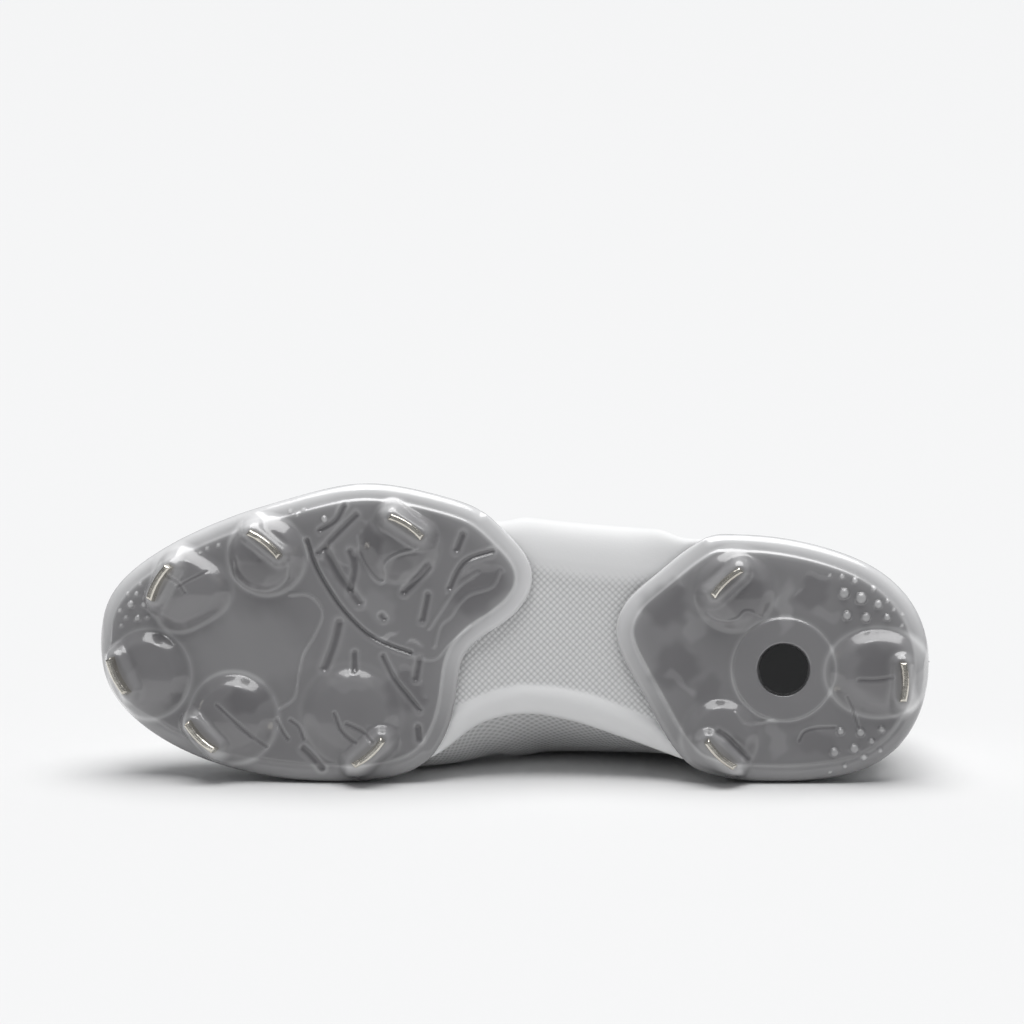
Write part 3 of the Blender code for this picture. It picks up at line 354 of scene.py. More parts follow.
class Shader:
    """A Principled material whose nodes are added one after another."""

    def __init__(self, name: str, colour: Sequence[float], roughness: float, **sockets: float) -> None:
        """Starts the material with plain socket values."""
        self.material = bpy.data.materials.new(name)
        self.material.use_nodes = True
        self.nodes = self.material.node_tree.nodes
        self.links = self.material.node_tree.links
        self.bsdf = self.nodes["Principled BSDF"]
        self.bsdf.inputs["Base Color"].default_value = (*colour, 1.0)
        self.bsdf.inputs["Roughness"].default_value = roughness
        for socket, value in sockets.items():
            self.bsdf.inputs[socket.replace("_", " ")].default_value = value
        self.coords = self.nodes.new("ShaderNodeTexCoord").outputs["Object"]

    def add(self, kind: str, output: str, inputs: dict[str | int, object], **settings: object) -> Socket:
        """Adds a node, sets or links its inputs, and gives one of its outputs."""
        node = self.nodes.new(f"ShaderNode{kind}")
        for key, value in settings.items():
            setattr(node, key, value)
        for key, value in inputs.items():
            if isinstance(value, Socket):
                self.links.new(value, node.inputs[key])
            else:
                node.inputs[key].default_value = value
        return node.outputs[output]

    def uv(self) -> Socket:
        """The piece's own UV map."""
        return self.add("UVMap", "UV", {})

    def scaled(self, source: Socket, scale: Sequence[float], turn_deg: float = 0.0) -> Socket:
        """Coordinates stretched and turned about Z."""
        turn = (0.0, 0.0, math.radians(turn_deg))
        return self.add("Mapping", "Vector", {"Vector": source, "Scale": tuple(scale), "Rotation": turn})

    def noise(self, scale: float, detail: float = 3.0, source: Socket | None = None) -> Socket:
        """Soft noise from 0 to 1."""
        inputs = {"Scale": scale, "Detail": detail, "Vector": source or self.coords}
        return self.add("TexNoise", "Fac", inputs)

    def cells(self, scale: float, source: Socket | None = None, randomness: float = 0.0) -> Socket:
        """Distance to the nearest cell centre."""
        inputs = {"Scale": scale, "Randomness": randomness, "Vector": source or self.coords}
        return self.add("TexVoronoi", "Distance", inputs)

    def wave(self, scale: float, source: Socket) -> Socket:
        """Even bands across the first axis."""
        return self.add("TexWave", "Fac", {"Scale": scale, "Vector": source}, bands_direction="X")

    def attribute(self, name: str) -> Socket:
        """A value stored on the piece's vertices."""
        return self.add("Attribute", "Fac", {}, attribute_name=name)

    def math(self, operation: str, first: Socket, second: Socket | float) -> Socket:
        """One sum of two values."""
        return self.add("Math", "Value", {0: first, 1: second}, operation=operation)

    def ramp(self, source: Socket, stops: Iterable[tuple[float, Sequence[float]]]) -> Socket:
        """Colours along a value from 0 to 1."""
        node = self.nodes.new("ShaderNodeValToRGB")
        elements = node.color_ramp.elements
        for index, (place, colour) in enumerate(stops):
            element = elements[index] if index < 2 else elements.new(place)
            element.position = place
            element.color = (*colour, 1.0)
        self.links.new(source, node.inputs["Fac"])
        return node.outputs["Color"]

    def paint(self, colour: Socket) -> None:
        """Sets the surface's colour."""
        self.links.new(colour, self.bsdf.inputs["Base Color"])

    def roughen(self, source: Socket, low: float, high: float) -> None:
        """Spreads the roughness between two values."""
        spread = self.add("MapRange", "Result", {"Value": source, "To Min": low, "To Max": high})
        self.links.new(spread, self.bsdf.inputs["Roughness"])

    def bump(self, height: Socket, depth: float, strength: float = 1.0) -> None:
        """Adds fine relief of this depth in metres over what is there."""
        normal = self.bsdf.inputs["Normal"]
        inputs = {"Strength": strength, "Distance": depth, "Height": height}
        if normal.is_linked:
            inputs["Normal"] = normal.links[0].from_socket
        self.links.new(self.add("Bump", "Normal", inputs), normal)


def grey(value: float, warmth: float = 0.0) -> tuple[float, float, float]:
    """A grey, slightly warm or cold."""
    return (value * (1 + warmth), value, value * (1 - warmth))


@dataclass(frozen=True)
class Cloth:
    """A soft cloth: its plain grey, cells to the metre, and place in the cell and grey of dark and light."""

    name: str
    shade: float
    cells: float
    dark: tuple[float, float]
    light: tuple[float, float]
    unevenness: float = 0.0
    roughness: float = 0.9
    sheen: float = 0.3
    depth: float = 0.0003
    strength: float = 0.7


class Finishes:
    """Every finish of the cleat, made once."""

    def __init__(self) -> None:
        """Makes the materials."""
        self.plate = self._plate()
        self.steel = self._steel()
        self.foam = self._foam()
        self.mesh = self._mesh()
        self.lining = self._cloth(Cloth("lining_cloth", 0.40, 900.0, (0.1, 0.30), (0.8, 0.44), sheen=0.4))
        self.film = self._film()
        self.tongue = self._cloth(
            Cloth("tongue_cloth", 0.58, 420.0, (0.08, 0.40), (0.5, 0.66), 0.25, 0.85, 0.3, 0.0006, 0.8)
        )
        self.lace = self._lace()
        self.sock = self._cloth(Cloth("insole_foam", 0.20, 800.0, (0.1, 0.15), (0.7, 0.24)))
        self.badge = self._badge()
        self.thread = self._thread()

    def _plate(self) -> Material:
        """Clear grey moulded plastic, darker where it is hollow behind, with painted light near white along
        the outer side's edge.
        """
        shader = Shader("plate_plastic", grey(0.16), 0.2, Coat_Weight=0.85, Coat_Roughness=0.06, IOR=1.5)
        tint = shader.attribute("tint")
        cloud = shader.noise(34.0, 2.0)
        uneven = shader.math("MULTIPLY", shader.math("SUBTRACT", cloud, 0.5), 0.14)
        mixed = shader.math("ADD", tint, uneven)
        # The lightest stop, near white, shows where the tint carries the painted light of the outer edge.
        stops = (
            (0.0, (0.105, 0.102, 0.107)),
            (0.30, (0.188, 0.184, 0.190)),
            (0.55, (0.292, 0.289, 0.294)),
            (1.0, (0.86, 0.858, 0.862)),
        )
        shader.paint(shader.ramp(mixed, stops))
        shader.roughen(shader.noise(60.0, 2.0), 0.16, 0.30)
        shader.bump(shader.noise(140.0, 2.0), 0.00012, 0.6)
        return shader.material

    def _steel(self) -> Material:
        """Bright steel with a faint golden cast and drawn scratches."""
        shader = Shader("stud_steel", (0.66, 0.62, 0.54), 0.2, Metallic=1.0)
        drawn = shader.noise(900.0, 2.0, shader.scaled(shader.coords, (0.15, 1.0, 1.0)))
        stops = ((0.3, (0.58, 0.55, 0.49)), (0.7, (0.80, 0.77, 0.70)))
        shader.paint(shader.ramp(shader.noise(90.0), stops))
        shader.roughen(drawn, 0.12, 0.34)
        shader.bump(drawn, 0.00005, 0.5)
        return shader.material

    def _foam(self) -> Material:
        """White moulded foam with a fine diamond grain."""
        shader = Shader("midsole_foam", grey(0.80), 0.5, Specular_IOR_Level=0.45)
        grain = shader.cells(600.0, shader.scaled(shader.uv(), (1.0, 1.0, 1.0), 45.0))
        dimples = shader.math("MULTIPLY", grain, shader.attribute("grain"))
        shader.paint(shader.ramp(dimples, ((0.15, grey(0.86)), (0.75, grey(0.50)))))
        shader.roughen(shader.noise(50.0), 0.42, 0.6)
        shader.bump(dimples, -0.0005, 0.8)
        shader.bump(shader.noise(1500.0, 2.0), 0.00006, 0.6)
        return shader.material

    def _mesh(self) -> Material:
        """Fine knitted mesh in white and pale grey."""
        shader = Shader("upper_mesh", grey(0.62), 0.8, Sheen_Weight=0.25)
        cloth = shader.scaled(shader.uv(), (1.0, 1.0, 1.0), 45.0)
        pores = shader.cells(560.0, cloth)
        threads = shader.wave(420.0, cloth)
        shader.paint(shader.ramp(pores, ((0.10, grey(0.50)), (0.55, grey(0.79)), (1.0, grey(0.84)))))
        shader.bump(pores, 0.0005, 0.8)
        shader.bump(threads, 0.00012, 0.5)
        return shader.material

    def _cloth(self, cloth: Cloth) -> Material:
        """Soft cloth with a cell pattern."""
        shader = Shader(cloth.name, grey(cloth.shade), cloth.roughness, Sheen_Weight=cloth.sheen)
        pattern = shader.cells(cloth.cells, randomness=cloth.unevenness)
        stops = [(place, grey(value)) for place, value in (cloth.dark, cloth.light)]
        shader.paint(shader.ramp(pattern, stops))
        shader.bump(pattern, cloth.depth, cloth.strength)
        return shader.material

    def _film(self) -> Material:
        """Thin smooth film over the cloth."""
        shader = Shader("eyestay_film", grey(0.74), 0.38, Coat_Weight=0.2, Coat_Roughness=0.25)
        shader.paint(shader.ramp(shader.noise(40.0), ((0.35, grey(0.70)), (0.65, grey(0.78)))))
        shader.roughen(shader.noise(120.0), 0.30, 0.48)
        shader.bump(shader.noise(900.0, 2.0), 0.00006, 0.5)
        return shader.material

    def _lace(self) -> Material:
        """Round braided lace."""
        shader = Shader("lace_cord", grey(0.78), 0.8, Sheen_Weight=0.3)
        braid = shader.wave(26.0, shader.scaled(shader.uv(), (1.0, 8.0, 1.0), 35.0))
        shader.paint(shader.ramp(braid, ((0.1, grey(0.60)), (0.7, grey(0.82)))))
        shader.bump(braid, 0.0003, 0.9)
        return shader.material

    def _badge(self) -> Material:
        """Plain black gloss plastic."""
        shader = Shader("badge_black", grey(0.008), 0.22, Coat_Weight=0.6, Coat_Roughness=0.08)
        shader.roughen(shader.noise(80.0), 0.18, 0.30)
        shader.bump(shader.noise(300.0), 0.00004, 0.4)
        return shader.material

    def _thread(self) -> Material:
        """Sewing thread."""
        shader = Shader("thread", grey(0.66), 0.7)
        shader.bump(shader.noise(2400.0), 0.00008, 0.7)
        return shader.material


def deselect() -> None:
    bpy.ops.object.select_all(action="DESELECT")


def make_active(obj: Object) -> None:
    """Selects one object alone."""
    deselect()
    obj.select_set(True)
    bpy.context.view_layer.objects.active = obj


def apply(obj: Object, kind: str, **settings: object) -> None:
    """Adds a modifier and applies it."""
    make_active(obj)
    modifier = obj.modifiers.new(kind.lower(), kind)
    for key, value in settings.items():
        setattr(modifier, key, value)
    bpy.ops.object.modifier_apply(modifier=modifier.name)


def coordinates(obj: Object) -> Array:
    """The mesh's points."""
    flat = np.empty(len(obj.data.vertices) * 3, dtype=np.float32)
    obj.data.vertices.foreach_get("co", flat)
    return flat.reshape(-1, 3).astype(float)


def move_to(obj: Object, points: Array) -> None:
    """Sets the mesh's points."""
    obj.data.vertices.foreach_set("co", np.asarray(points, dtype=np.float32).reshape(-1))
    obj.data.update()


@contextmanager
def editing(obj: Object) -> Iterator[None]:
    """Edit mode on one object, with everything in it selected."""
    make_active(obj)
    bpy.ops.object.mode_set(mode="EDIT")
    bpy.ops.mesh.select_all(action="SELECT")
    yield
    bpy.ops.object.mode_set(mode="OBJECT")


def face_outwards(obj: Object) -> None:
    """Turns a closed piece's faces outwards."""
    with editing(obj):
        bpy.ops.mesh.normals_make_consistent(inside=False)


def store(obj: Object, name: str, values: Array) -> None:
    """Keeps one value for each point of a piece."""
    layer = obj.data.attributes.new(name, "FLOAT", "POINT")
    layer.data.foreach_set("value", np.asarray(values, dtype=np.float32).reshape(-1))


def finish_piece(obj: Object, name: str, slot: str, *materials: Material) -> Object:
    """Names, dresses and attaches a finished piece.

    Args:
        obj: the piece, with its place in its mesh.
        name: its name.
        slot: not used.
        materials: its finishes, in the order of its faces' indices.

    Returns:
        The same piece.
    """
    obj.name = name
    obj.data.name = name
    if materials:
        kept = [face.material_index for face in obj.data.polygons]
        obj.data.materials.clear()
        for material in materials:
            obj.data.materials.append(material)
        obj.data.polygons.foreach_set("material_index", kept)
    make_active(obj)
    bpy.ops.object.shade_smooth()
    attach(obj, BODY)
    LOG.info("%s: %d triangles", name, sum(len(face.vertices) - 2 for face in obj.data.polygons))
    return obj


def woven_sheet(points: Array, uv: Array | None = None, joined: bool = False) -> Object:
    """A primitive grid moved onto lines of points.

    Args:
        points: array (lines, places, 3).
        uv: array (lines, places, 2) in metres, measured along the sheet when left out.
        joined: True if some of its borders meet and are welded.

    Returns:
        The sheet, named grid by Blender, with its own UV map.
    """
    lines, places = points.shape[:2]
    deselect()
    bpy.ops.mesh.primitive_grid_add(x_subdivisions=lines - 1, y_subdivisions=places - 1, size=2.0)
    obj = bpy.context.object
    start = coordinates(obj)
    line = np.rint((start[:, 0] + 1) / 2 * (lines - 1)).astype(int)
    place = np.rint((start[:, 1] + 1) / 2 * (places - 1)).astype(int)
    move_to(obj, points[line, place])
    if uv is None:
        uv = np.zeros((lines, places, 2))
        steps = np.linalg.norm(np.diff(points, axis=0), axis=2).mean(axis=1)
        uv[1:, :, 0] = np.cumsum(steps)[:, None]
        uv[:, 1:, 1] = np.cumsum(np.linalg.norm(np.diff(points, axis=1), axis=2), axis=1)
    corners = np.empty(len(obj.data.loops), dtype=np.int32)
    obj.data.loops.foreach_get("vertex_index", corners)
    flat_uv = uv[line[corners], place[corners]].astype(np.float32)
    obj.data.uv_layers[0].data.foreach_set("uv", flat_uv.reshape(-1))
    if joined:
        apply(obj, "WELD", merge_threshold=WELD_WIDTH)
    return obj


def measured(route: Array) -> Array:
    """Length along a route at each of its points."""
    return np.concatenate([[0.0], np.cumsum(np.linalg.norm(np.diff(route, axis=0), axis=1))])


def resampled(route: Array, step: float) -> Array:
    """A smooth route through the points at even steps."""
    run = measured(route)
    at = np.linspace(0, run[-1], max(4, int(run[-1] / step)))
    return np.column_stack([spline(run, route[:, k], at) for k in range(3)])


@dataclass
class Tube:
    """A cord or thread along a route."""

    route: Array
    radius: float
    step: float
    sides: int = 10
    flat: float = 1.0
    stitch: float = 0.0
    up: Array | None = None

    def build(self) -> Object:
        """Makes the tube, closed at both ends.

        Returns:
            The tube, with a UV map along and round it.
        """
        route = resampled(self.route, self.step)
        along = np.gradient(route, axis=0)
        along /= np.linalg.norm(along, axis=1, keepdims=True)
        up = np.array(self.up if self.up is not None else (0.0, 0.0, 1.0), float)
        if up.ndim == 2:
            share = np.linspace(0, len(up) - 1, len(route))
            up = np.column_stack([np.interp(share, np.arange(len(up)), up[:, k]) for k in range(3)])
        side = np.cross(along, up)
        side /= np.maximum(np.linalg.norm(side, axis=1, keepdims=True), 1e-9)
        lift = np.cross(side, along)
        run = measured(route)
        radius = np.full(len(route), self.radius)
        if self.stitch:
            wave = np.abs(np.sin(math.pi * run / self.stitch))
            radius = self.radius * (0.25 + 0.75 * np.sqrt(wave))
            route = route + lift * (self.radius * (wave - 0.75))[:, None]
        ends = np.sqrt(np.clip(np.minimum(run, run[-1] - run) / self.radius, 0, 1))
        radius = radius * ends
        turn = np.linspace(0, 2 * math.pi, self.sides + 1)
        turned = turn[None, :, None]
        ring = side[:, None] * np.cos(turned) + lift[:, None] * (self.flat * np.sin(turned))
        points = route[:, None] + ring * radius[:, None, None]
        points[:, -1] = points[:, 0]
        uv = np.stack(np.broadcast_arrays(run[:, None], turn[None] * self.radius), axis=-1)
        obj = woven_sheet(points, uv, joined=True)
        face_outwards(obj)
        return obj


def joined_piece(parts: list[Object]) -> Object:
    """Several objects as one."""
    make_active(parts[0])
    for part in parts:
        part.select_set(True)
    bpy.ops.object.join()
    return bpy.context.object


def seen(x_mm: float, w_mm: float) -> Array:
    """A place seen from straight below, in millimetres, on the flat sole."""
    start, radius = LAST.spring()
    x = x_mm * MM
    ahead = min(max(x - start, 0.0) / radius, 1.0)
    return np.array([min(x, start) + radius * math.asin(ahead), w_mm * MM])


def shared(place: tuple[float, float]) -> Array:
    """A flat place given as shares of the last's length and ball width."""
    return np.array([LAST.length * place[0], LAST.ball_width * place[1]])


def soft_max(first: Array, second: Array, blend: float) -> Array:
    """The higher of two heights, rounded where they meet."""
    share = np.clip(0.5 + 0.5 * (first - second) / blend, 0, 1)
    return second * (1 - share) + first * share + blend * share * (1 - share)


def distance_to_edge(points: Array, start: Array, end: Array) -> Array:
    """Distance of flat points from the straight line between two places."""
    along = end - start
    share = np.clip(((points - start) @ along) / max(float(along @ along), TINY), 0, 1)
    return np.linalg.norm(points - (start + share[:, None] * along), axis=1)


def distance_to_line(points: Array, line: Array) -> Array:
    """Distance of flat points from an open line."""
    return np.min([distance_to_edge(points, a, b) for a, b in zip(line[:-1], line[1:])], axis=0)


@dataclass(frozen=True)
class Pod:
    """A moulded pod and the boss round its blade, as shares of length and ball width."""

    dome: tuple[float, float]
    radius: float
    stud: tuple[float, float]
    turn_deg: float
    tall: float = 1.0
    stretch: float = 1.0
    rim: float = 1.0
    hollow: float = 1.0
    lobes: float = 0.0
    lobe_deg: float = 0.0


@dataclass(frozen=True)
class Groove:
    """A moulded line through places seen from below, in millimetres."""

    route: tuple[tuple[float, float], ...]
    width: float = 1.0
    depth: float = 0.5
    tint: float = -0.24
    relief: Relief = Relief.GROOVE


@dataclass(frozen=True)
class Patch:
    """An oval where the plastic is thinner or thicker: place, half sizes in millimetres, and turn."""

    at: tuple[float, float]
    half: tuple[float, float]
    turn_deg: float
    tint: float
    depth: float = 0.0


@dataclass(frozen=True)
class Outline:
    """A plate's closed outline: flat points, share of rim, and how far each stands out past the foam."""

    points: Array
    rim: Array
    swell: Array

    def inset(self, amount: float | Array) -> Array:
        """The outline moved inwards, by one amount or by one for each point."""
        along = np.roll(self.points, -1, axis=0) - np.roll(self.points, 1, axis=0)
        across = np.column_stack([-along[:, 1], along[:, 0]])
        across /= np.linalg.norm(across, axis=1, keepdims=True)
        ahead = np.roll(self.points, -1, axis=0)
        area = np.sum(self.points[:, 0] * ahead[:, 1] - ahead[:, 0] * self.points[:, 1])
        return self.points + across * np.reshape(amount, (-1, 1)) * np.sign(area)

    def distances(self, plan: Array) -> tuple[Array, Array]:
        """Distance of flat points from the rimmed part and from the free part."""
        best = [np.full(len(plan), 1.0), np.full(len(plan), 1.0)]
        ahead = np.roll(self.points, -1, axis=0)
        for a, b, share in zip(self.points, ahead, self.rim):
            which = 0 if share > 0.5 else 1
            best[which] = np.minimum(best[which], distance_to_edge(plan, a, b))
        return best[0], best[1]


@dataclass
class SolePlate:
    """A moulded plate with the relief of its underside, in place of its solid."""

    node: str
    ends: tuple[float, float]
    edge: tuple[tuple[float, float], ...]
    towards_toe: bool
    pods: tuple[Pod, ...]
    grooves: tuple[Groove, ...]
    patches: tuple[Patch, ...]
    beads: tuple[tuple[float, float, float], ...]
    ring: tuple[float, float] | None = None
    ring_radius: float = 0.0188
    ring_step: float = 0.0018
    ring_edge: float = 0.0008
    badge_radius: float = 0.0092
    badge_depth: float = 0.0011
    thickness: float = 0.0030
    rim_height: float = 0.0035
    rim_wall: float = 0.0018
    outline_step: float = 0.0009
    corner: float = 0.0034
    swell: float = 0.0
    swell_at: float = 0.61
    swell_reach: float = 0.045
    first_voxel: float = 0.0009
    voxel: float = 0.00058
    dome_height: float = 0.0062
    dome_flat: float = 0.58
    dome_edge: tuple[float, float] = (0.62, 1.02)
    dome_blend: float = 0.0008
    rim_tint: float = 0.18
    hollow_tint: float = 0.05
    boss_height: float = 0.0083
    boss_half: tuple[float, float] = (0.0104, 0.0044)
    boss_edge: tuple[float, float] = (0.40, 1.9)
    boss_blend: float = 0.0014
    boss_tint: float = 0.16
    flange_tint: float = 0.56
    field_tint: float = -0.15
    lip_width: float = 0.00055
    lip_height: float = 0.00035
    lip_tint: float = 0.13
    lip_away: float = 0.2
    waist_reach: tuple[float, float] = (0.045, 0.085)
    # Painted light: the outer side, which faces up, is painted lighter within this width of the outline,
    # standing in for top light shining through the plastic.
    painted_edge_light: float = 0.42
    painted_edge_light_width: float = 0.013
    painted_edge_light_side: tuple[float, float] = (-0.035, 0.038)
    settle: float = 0.0025
    field_step: float = 0.0009
    flange: float = 0.0060
    wander: float = 0.0011
    border_rounding: float = 0.0042
    free_rounding: float = 0.0017

    def outline(self) -> Outline:
        """Closed outline of the plate, its corners rounded."""
        inner, outer = LAST.turn_of(np.array(self.ends))
        if self.towards_toe:
            border = LAST.plan_point(np.linspace(outer, 2 - inner, 200))
        else:
            border = LAST.plan_point(np.linspace(-inner, outer, 200))
        free = np.array([(LAST.length * s, LAST.ball_width * w) for s, w in self.edge])
        first, last = (border[-1], border[0]) if self.towards_toe else (border[0], border[-1])
        line = np.vstack([first, free, last])
        fine = np.linspace(0, len(line) - 1, 8 * len(line))[1:-1]
        curve = np.column_stack([spline(np.arange(len(line)), line[:, k], fine) for k in (0, 1)])
        raw = np.vstack([border, curve if self.towards_toe else curve[::-1], border[:1]])
        share = np.concatenate([np.ones(len(border)), np.zeros(len(curve)), [1.0]])
        run = measured(np.column_stack([raw, np.zeros(len(raw))]))
        at = np.linspace(0, run[-1], int(run[-1] / self.outline_step), endpoint=False)
        even = np.column_stack([np.interp(at, run, column) for column in (raw[:, 0], raw[:, 1], share)])
        spread = self.corner / self.outline_step
        shifts = range(-int(3 * spread), int(3 * spread) + 1)
        weights = np.array([math.exp(-0.5 * (k / spread) ** 2) for k in shifts])
        soft = sum(w * np.roll(even, k, axis=0) for w, k in zip(weights / weights.sum(), shifts))
        past = (soft[:, 0] - LAST.length * self.swell_at) / self.swell_reach
        swell = self.swell * np.exp(-(past**2)) * smooth(0.018, 0.042, soft[:, 1])
        plain = Outline(soft[:, :2], soft[:, 2], swell)
        return Outline(plain.inset(-swell), soft[:, 2], swell)

    def body(self, outline: Outline) -> Object:
        """The plain plate, flat: a slab with a wall round the part that holds the midsole."""
        inside = outline.inset(self.rim_wall + outline.swell)
        tall = self.thickness + self.rim_height * outline.rim
        rings = [
            np.column_stack([outline.points, np.zeros_like(tall)]),
            np.column_stack([outline.points, tall]),
            np.column_stack([inside, tall + 1e-5]),
            np.column_stack([inside, np.full_like(tall, self.thickness)]),
        ]
        points = np.stack(rings, axis=1)
        obj = woven_sheet(np.concatenate([points, points[:1]]), joined=True)
        with editing(obj):
            bpy.ops.mesh.fill_holes(sides=0)
        face_outwards(obj)
        return obj

    def _pod(self, pod: Pod, plan: Array, height: Array, tint: Array) -> tuple[Array, Array]:
        """Adds one pod and its boss to the height and tint."""
        turn = math.radians(pod.turn_deg)
        axis = np.array([math.cos(turn), math.sin(turn)])
        side = np.array([-axis[1], axis[0]])
        away = plan - shared(pod.dome)
        bearing = np.arctan2(away[:, 1], away[:, 0]) - math.radians(pod.lobe_deg)
        radius = LAST.ball_width * pod.radius * (1 + pod.lobes * np.cos(3 * bearing))
        reach = np.hypot(away @ axis, (away @ side) * pod.stretch) / radius
        flat, foot = self.dome_flat, self.dome_edge[1]
        crown = flat * (1 - smooth(*self.dome_edge, reach)) + (1 - flat) * np.clip(1 - reach**2, 0, 1)
        dome = self.dome_height * pod.tall * crown
        height = soft_max(height, np.where(reach < foot, dome, -0.02 * (reach - foot)), self.dome_blend)
        tint = tint + self.rim_tint * pod.rim * np.exp(-(((reach - 0.97) / 0.06) ** 2))
        tint = tint - self.hollow_tint * pod.hollow * (1 - smooth(0.55, 0.88, reach))
        from_stud = plan - shared(pod.stud)
        half, thin = self.boss_half
        past = np.maximum(np.abs(from_stud @ axis) - (half - thin), 0)
        around = np.hypot(past, from_stud @ side) / thin
        boss = self.boss_height * (1 - smooth(*self.boss_edge, around))
        height = soft_max(height, boss - 0.002 * smooth(1.2, 2.4, around), self.boss_blend)
        tint = tint + self.boss_tint * (1 - smooth(0.7, 1.5, around))
        return height, tint

    def relief(self, plan: Array, edge: Array) -> tuple[Array, Array]:
        """Height under the base plane and tint of the underside.

        Args:
            plan: flat points (s, w).
            edge: their distance from the plate's outline.

        Returns:
            Heights in metres, and tints from 0, dark, to 1, light, which hold painted light along the outer
            side's edge.
        """
        inside = smooth(self.flange - 0.0007, self.flange + 0.0007, edge)
        waist = LAST.length * float(np.mean([s for s, _ in self.edge]))
        near_waist = 1 - smooth(*self.waist_reach, np.abs(plan[:, 0] - waist))
        lip = np.exp(-(((edge - self.flange) / self.lip_width) ** 2))
        lip = lip * (self.lip_away + (1 - self.lip_away) * near_waist)
        height = self.field_step * inside + self.lip_height * lip
        tint = self.flange_tint + self.field_tint * inside + self.lip_tint * lip
        warped = plan + self.wander * np.column_stack(
            [
                np.sin(plan[:, 1] * 430 + 2.1) + 0.5 * np.sin(plan[:, 1] * 990 + plan[:, 0] * 300),
                np.sin(plan[:, 0] * 390 + 0.4) + 0.5 * np.sin(plan[:, 0] * 910 - plan[:, 1] * 350),
            ]
        )
        for patch in self.patches:
            away = warped - seen(*patch.at)
            turn = math.radians(patch.turn_deg)
            axis = np.array([math.cos(turn), math.sin(turn)])
            along = (away @ axis) / (patch.half[0] * MM)
            across = (away @ np.array([-axis[1], axis[0]])) / (patch.half[1] * MM)
            shape = 1 - smooth(0.62, 1.18, np.hypot(along, across))
            height = height - patch.depth * MM * shape
            tint = tint + patch.tint * shape
        for pod in self.pods:
            height, tint = self._pod(pod, plan, height, tint)
        if self.ring:
            away = np.linalg.norm(plan - shared(self.ring), axis=1)
            half = self.ring_edge
            disc = self.ring_step * (1 - smooth(self.ring_radius - half, self.ring_radius + half, away))
            height = np.maximum(height, disc)
            tint = tint + 0.20 * np.exp(-(((away - self.ring_radius) / 0.0008) ** 2))
            well = 1 - smooth(self.badge_radius, self.badge_radius + 0.0005, away)
            height = height * (1 - well) + (self.ring_step - self.badge_depth) * well
        for groove in self.grooves:
            line = np.array([seen(*place) for place in groove.route])
            if len(line) > 2:
                fine = np.linspace(0, len(line) - 1, 6 * (len(line) - 1) + 1)
                line = np.column_stack([spline(np.arange(len(line)), line[:, k], fine) for k in (0, 1)])
            width = groove.width * MM
            away = distance_to_line(plan, line)
            shape = np.exp(-((away / (0.66 * width)) ** (4 if groove.width > 1.2 else 2)))
            shoulder = np.exp(-(((away - 1.15 * width) / (0.45 * width)) ** 2))
            height = height + groove.relief.value * groove.depth * MM * (shape - 0.18 * shoulder)
            tint = tint + groove.tint * shape + 0.09 * shoulder * (groove.relief is Relief.GROOVE)
        for x_mm, w_mm, radius in self.beads:
            away = np.linalg.norm(plan - seen(x_mm, w_mm), axis=1) / (radius * MM)
            height = height + 0.85 * radius * MM * np.sqrt(np.clip(1 - away**2, 0, 1))
            tint = tint + 0.26 * (1 - smooth(0.6, 1.1, away))
        # Painted light: the outer side, which faces up to the lamps, is painted lighter towards the outline.
        lit_outer_side = smooth(*self.painted_edge_light_side, plan[:, 1])
        tint = tint + self.painted_edge_light * lit_outer_side * (1 - smooth(0.0, self.painted_edge_light_width, edge))
        return height * smooth(0.0, self.settle, edge), np.clip(tint, 0, 1)

    def _shape(self, obj: Object, outline: Outline, reach: float, hold: float) -> Array:
        """Moves the underside's points onto the relief.

        Args:
            obj: the plate, flat.
            outline: its outline.
            reach: how far above the relief a point still belongs to the underside.
            hold: distance from the outline within which points are left more and more alone.

        Returns:
            The tint of each point.
        """
        flat = coordinates(obj)
        rimmed, free = outline.distances(flat[:, :2])
        edge = np.minimum(rimmed, free)
        height, tint = self.relief(flat[:, :2], edge)
        rise = np.zeros(len(flat))
        for away, radius in ((rimmed, self.border_rounding), (free, self.free_rounding)):
            short = np.clip(radius - away, 0, radius)
            rise = np.maximum(rise, radius - np.sqrt(np.clip(radius**2 - short**2, 0, None)))
        below = flat[:, 2] < rise - np.minimum(height, 0) + reach
        held = below * smooth(-1e-6, hold, edge)
        flat[:, 2] = flat[:, 2] * (1 - held) + (rise - height) * held
        move_to(obj, flat)
        return np.where(below, tint, 0.55)

    def build(self, finish: Material) -> Object:
        """Makes the plate and attaches it in place of its node."""
        outline = self.outline()
        obj = self.body(outline)
        apply(obj, "REMESH", mode="VOXEL", voxel_size=self.first_voxel, adaptivity=0.0)
        self._shape(obj, outline, 0.0008, 1e-6)
        apply(obj, "REMESH", mode="VOXEL", voxel_size=self.voxel, adaptivity=0.0)
        apply(obj, "SMOOTH", factor=0.5, iterations=2)
        # The stored tint holds the plastic's own tones together with the painted light along the outer edge.
        store(obj, "tint", self._shape(obj, outline, 0.0006, 0.0007))
        move_to(obj, LAST.place(coordinates(obj)))
        finish_piece(obj, f"{self.node}_moulding", "plate_plastic", finish)
        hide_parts(self.node)
        return obj


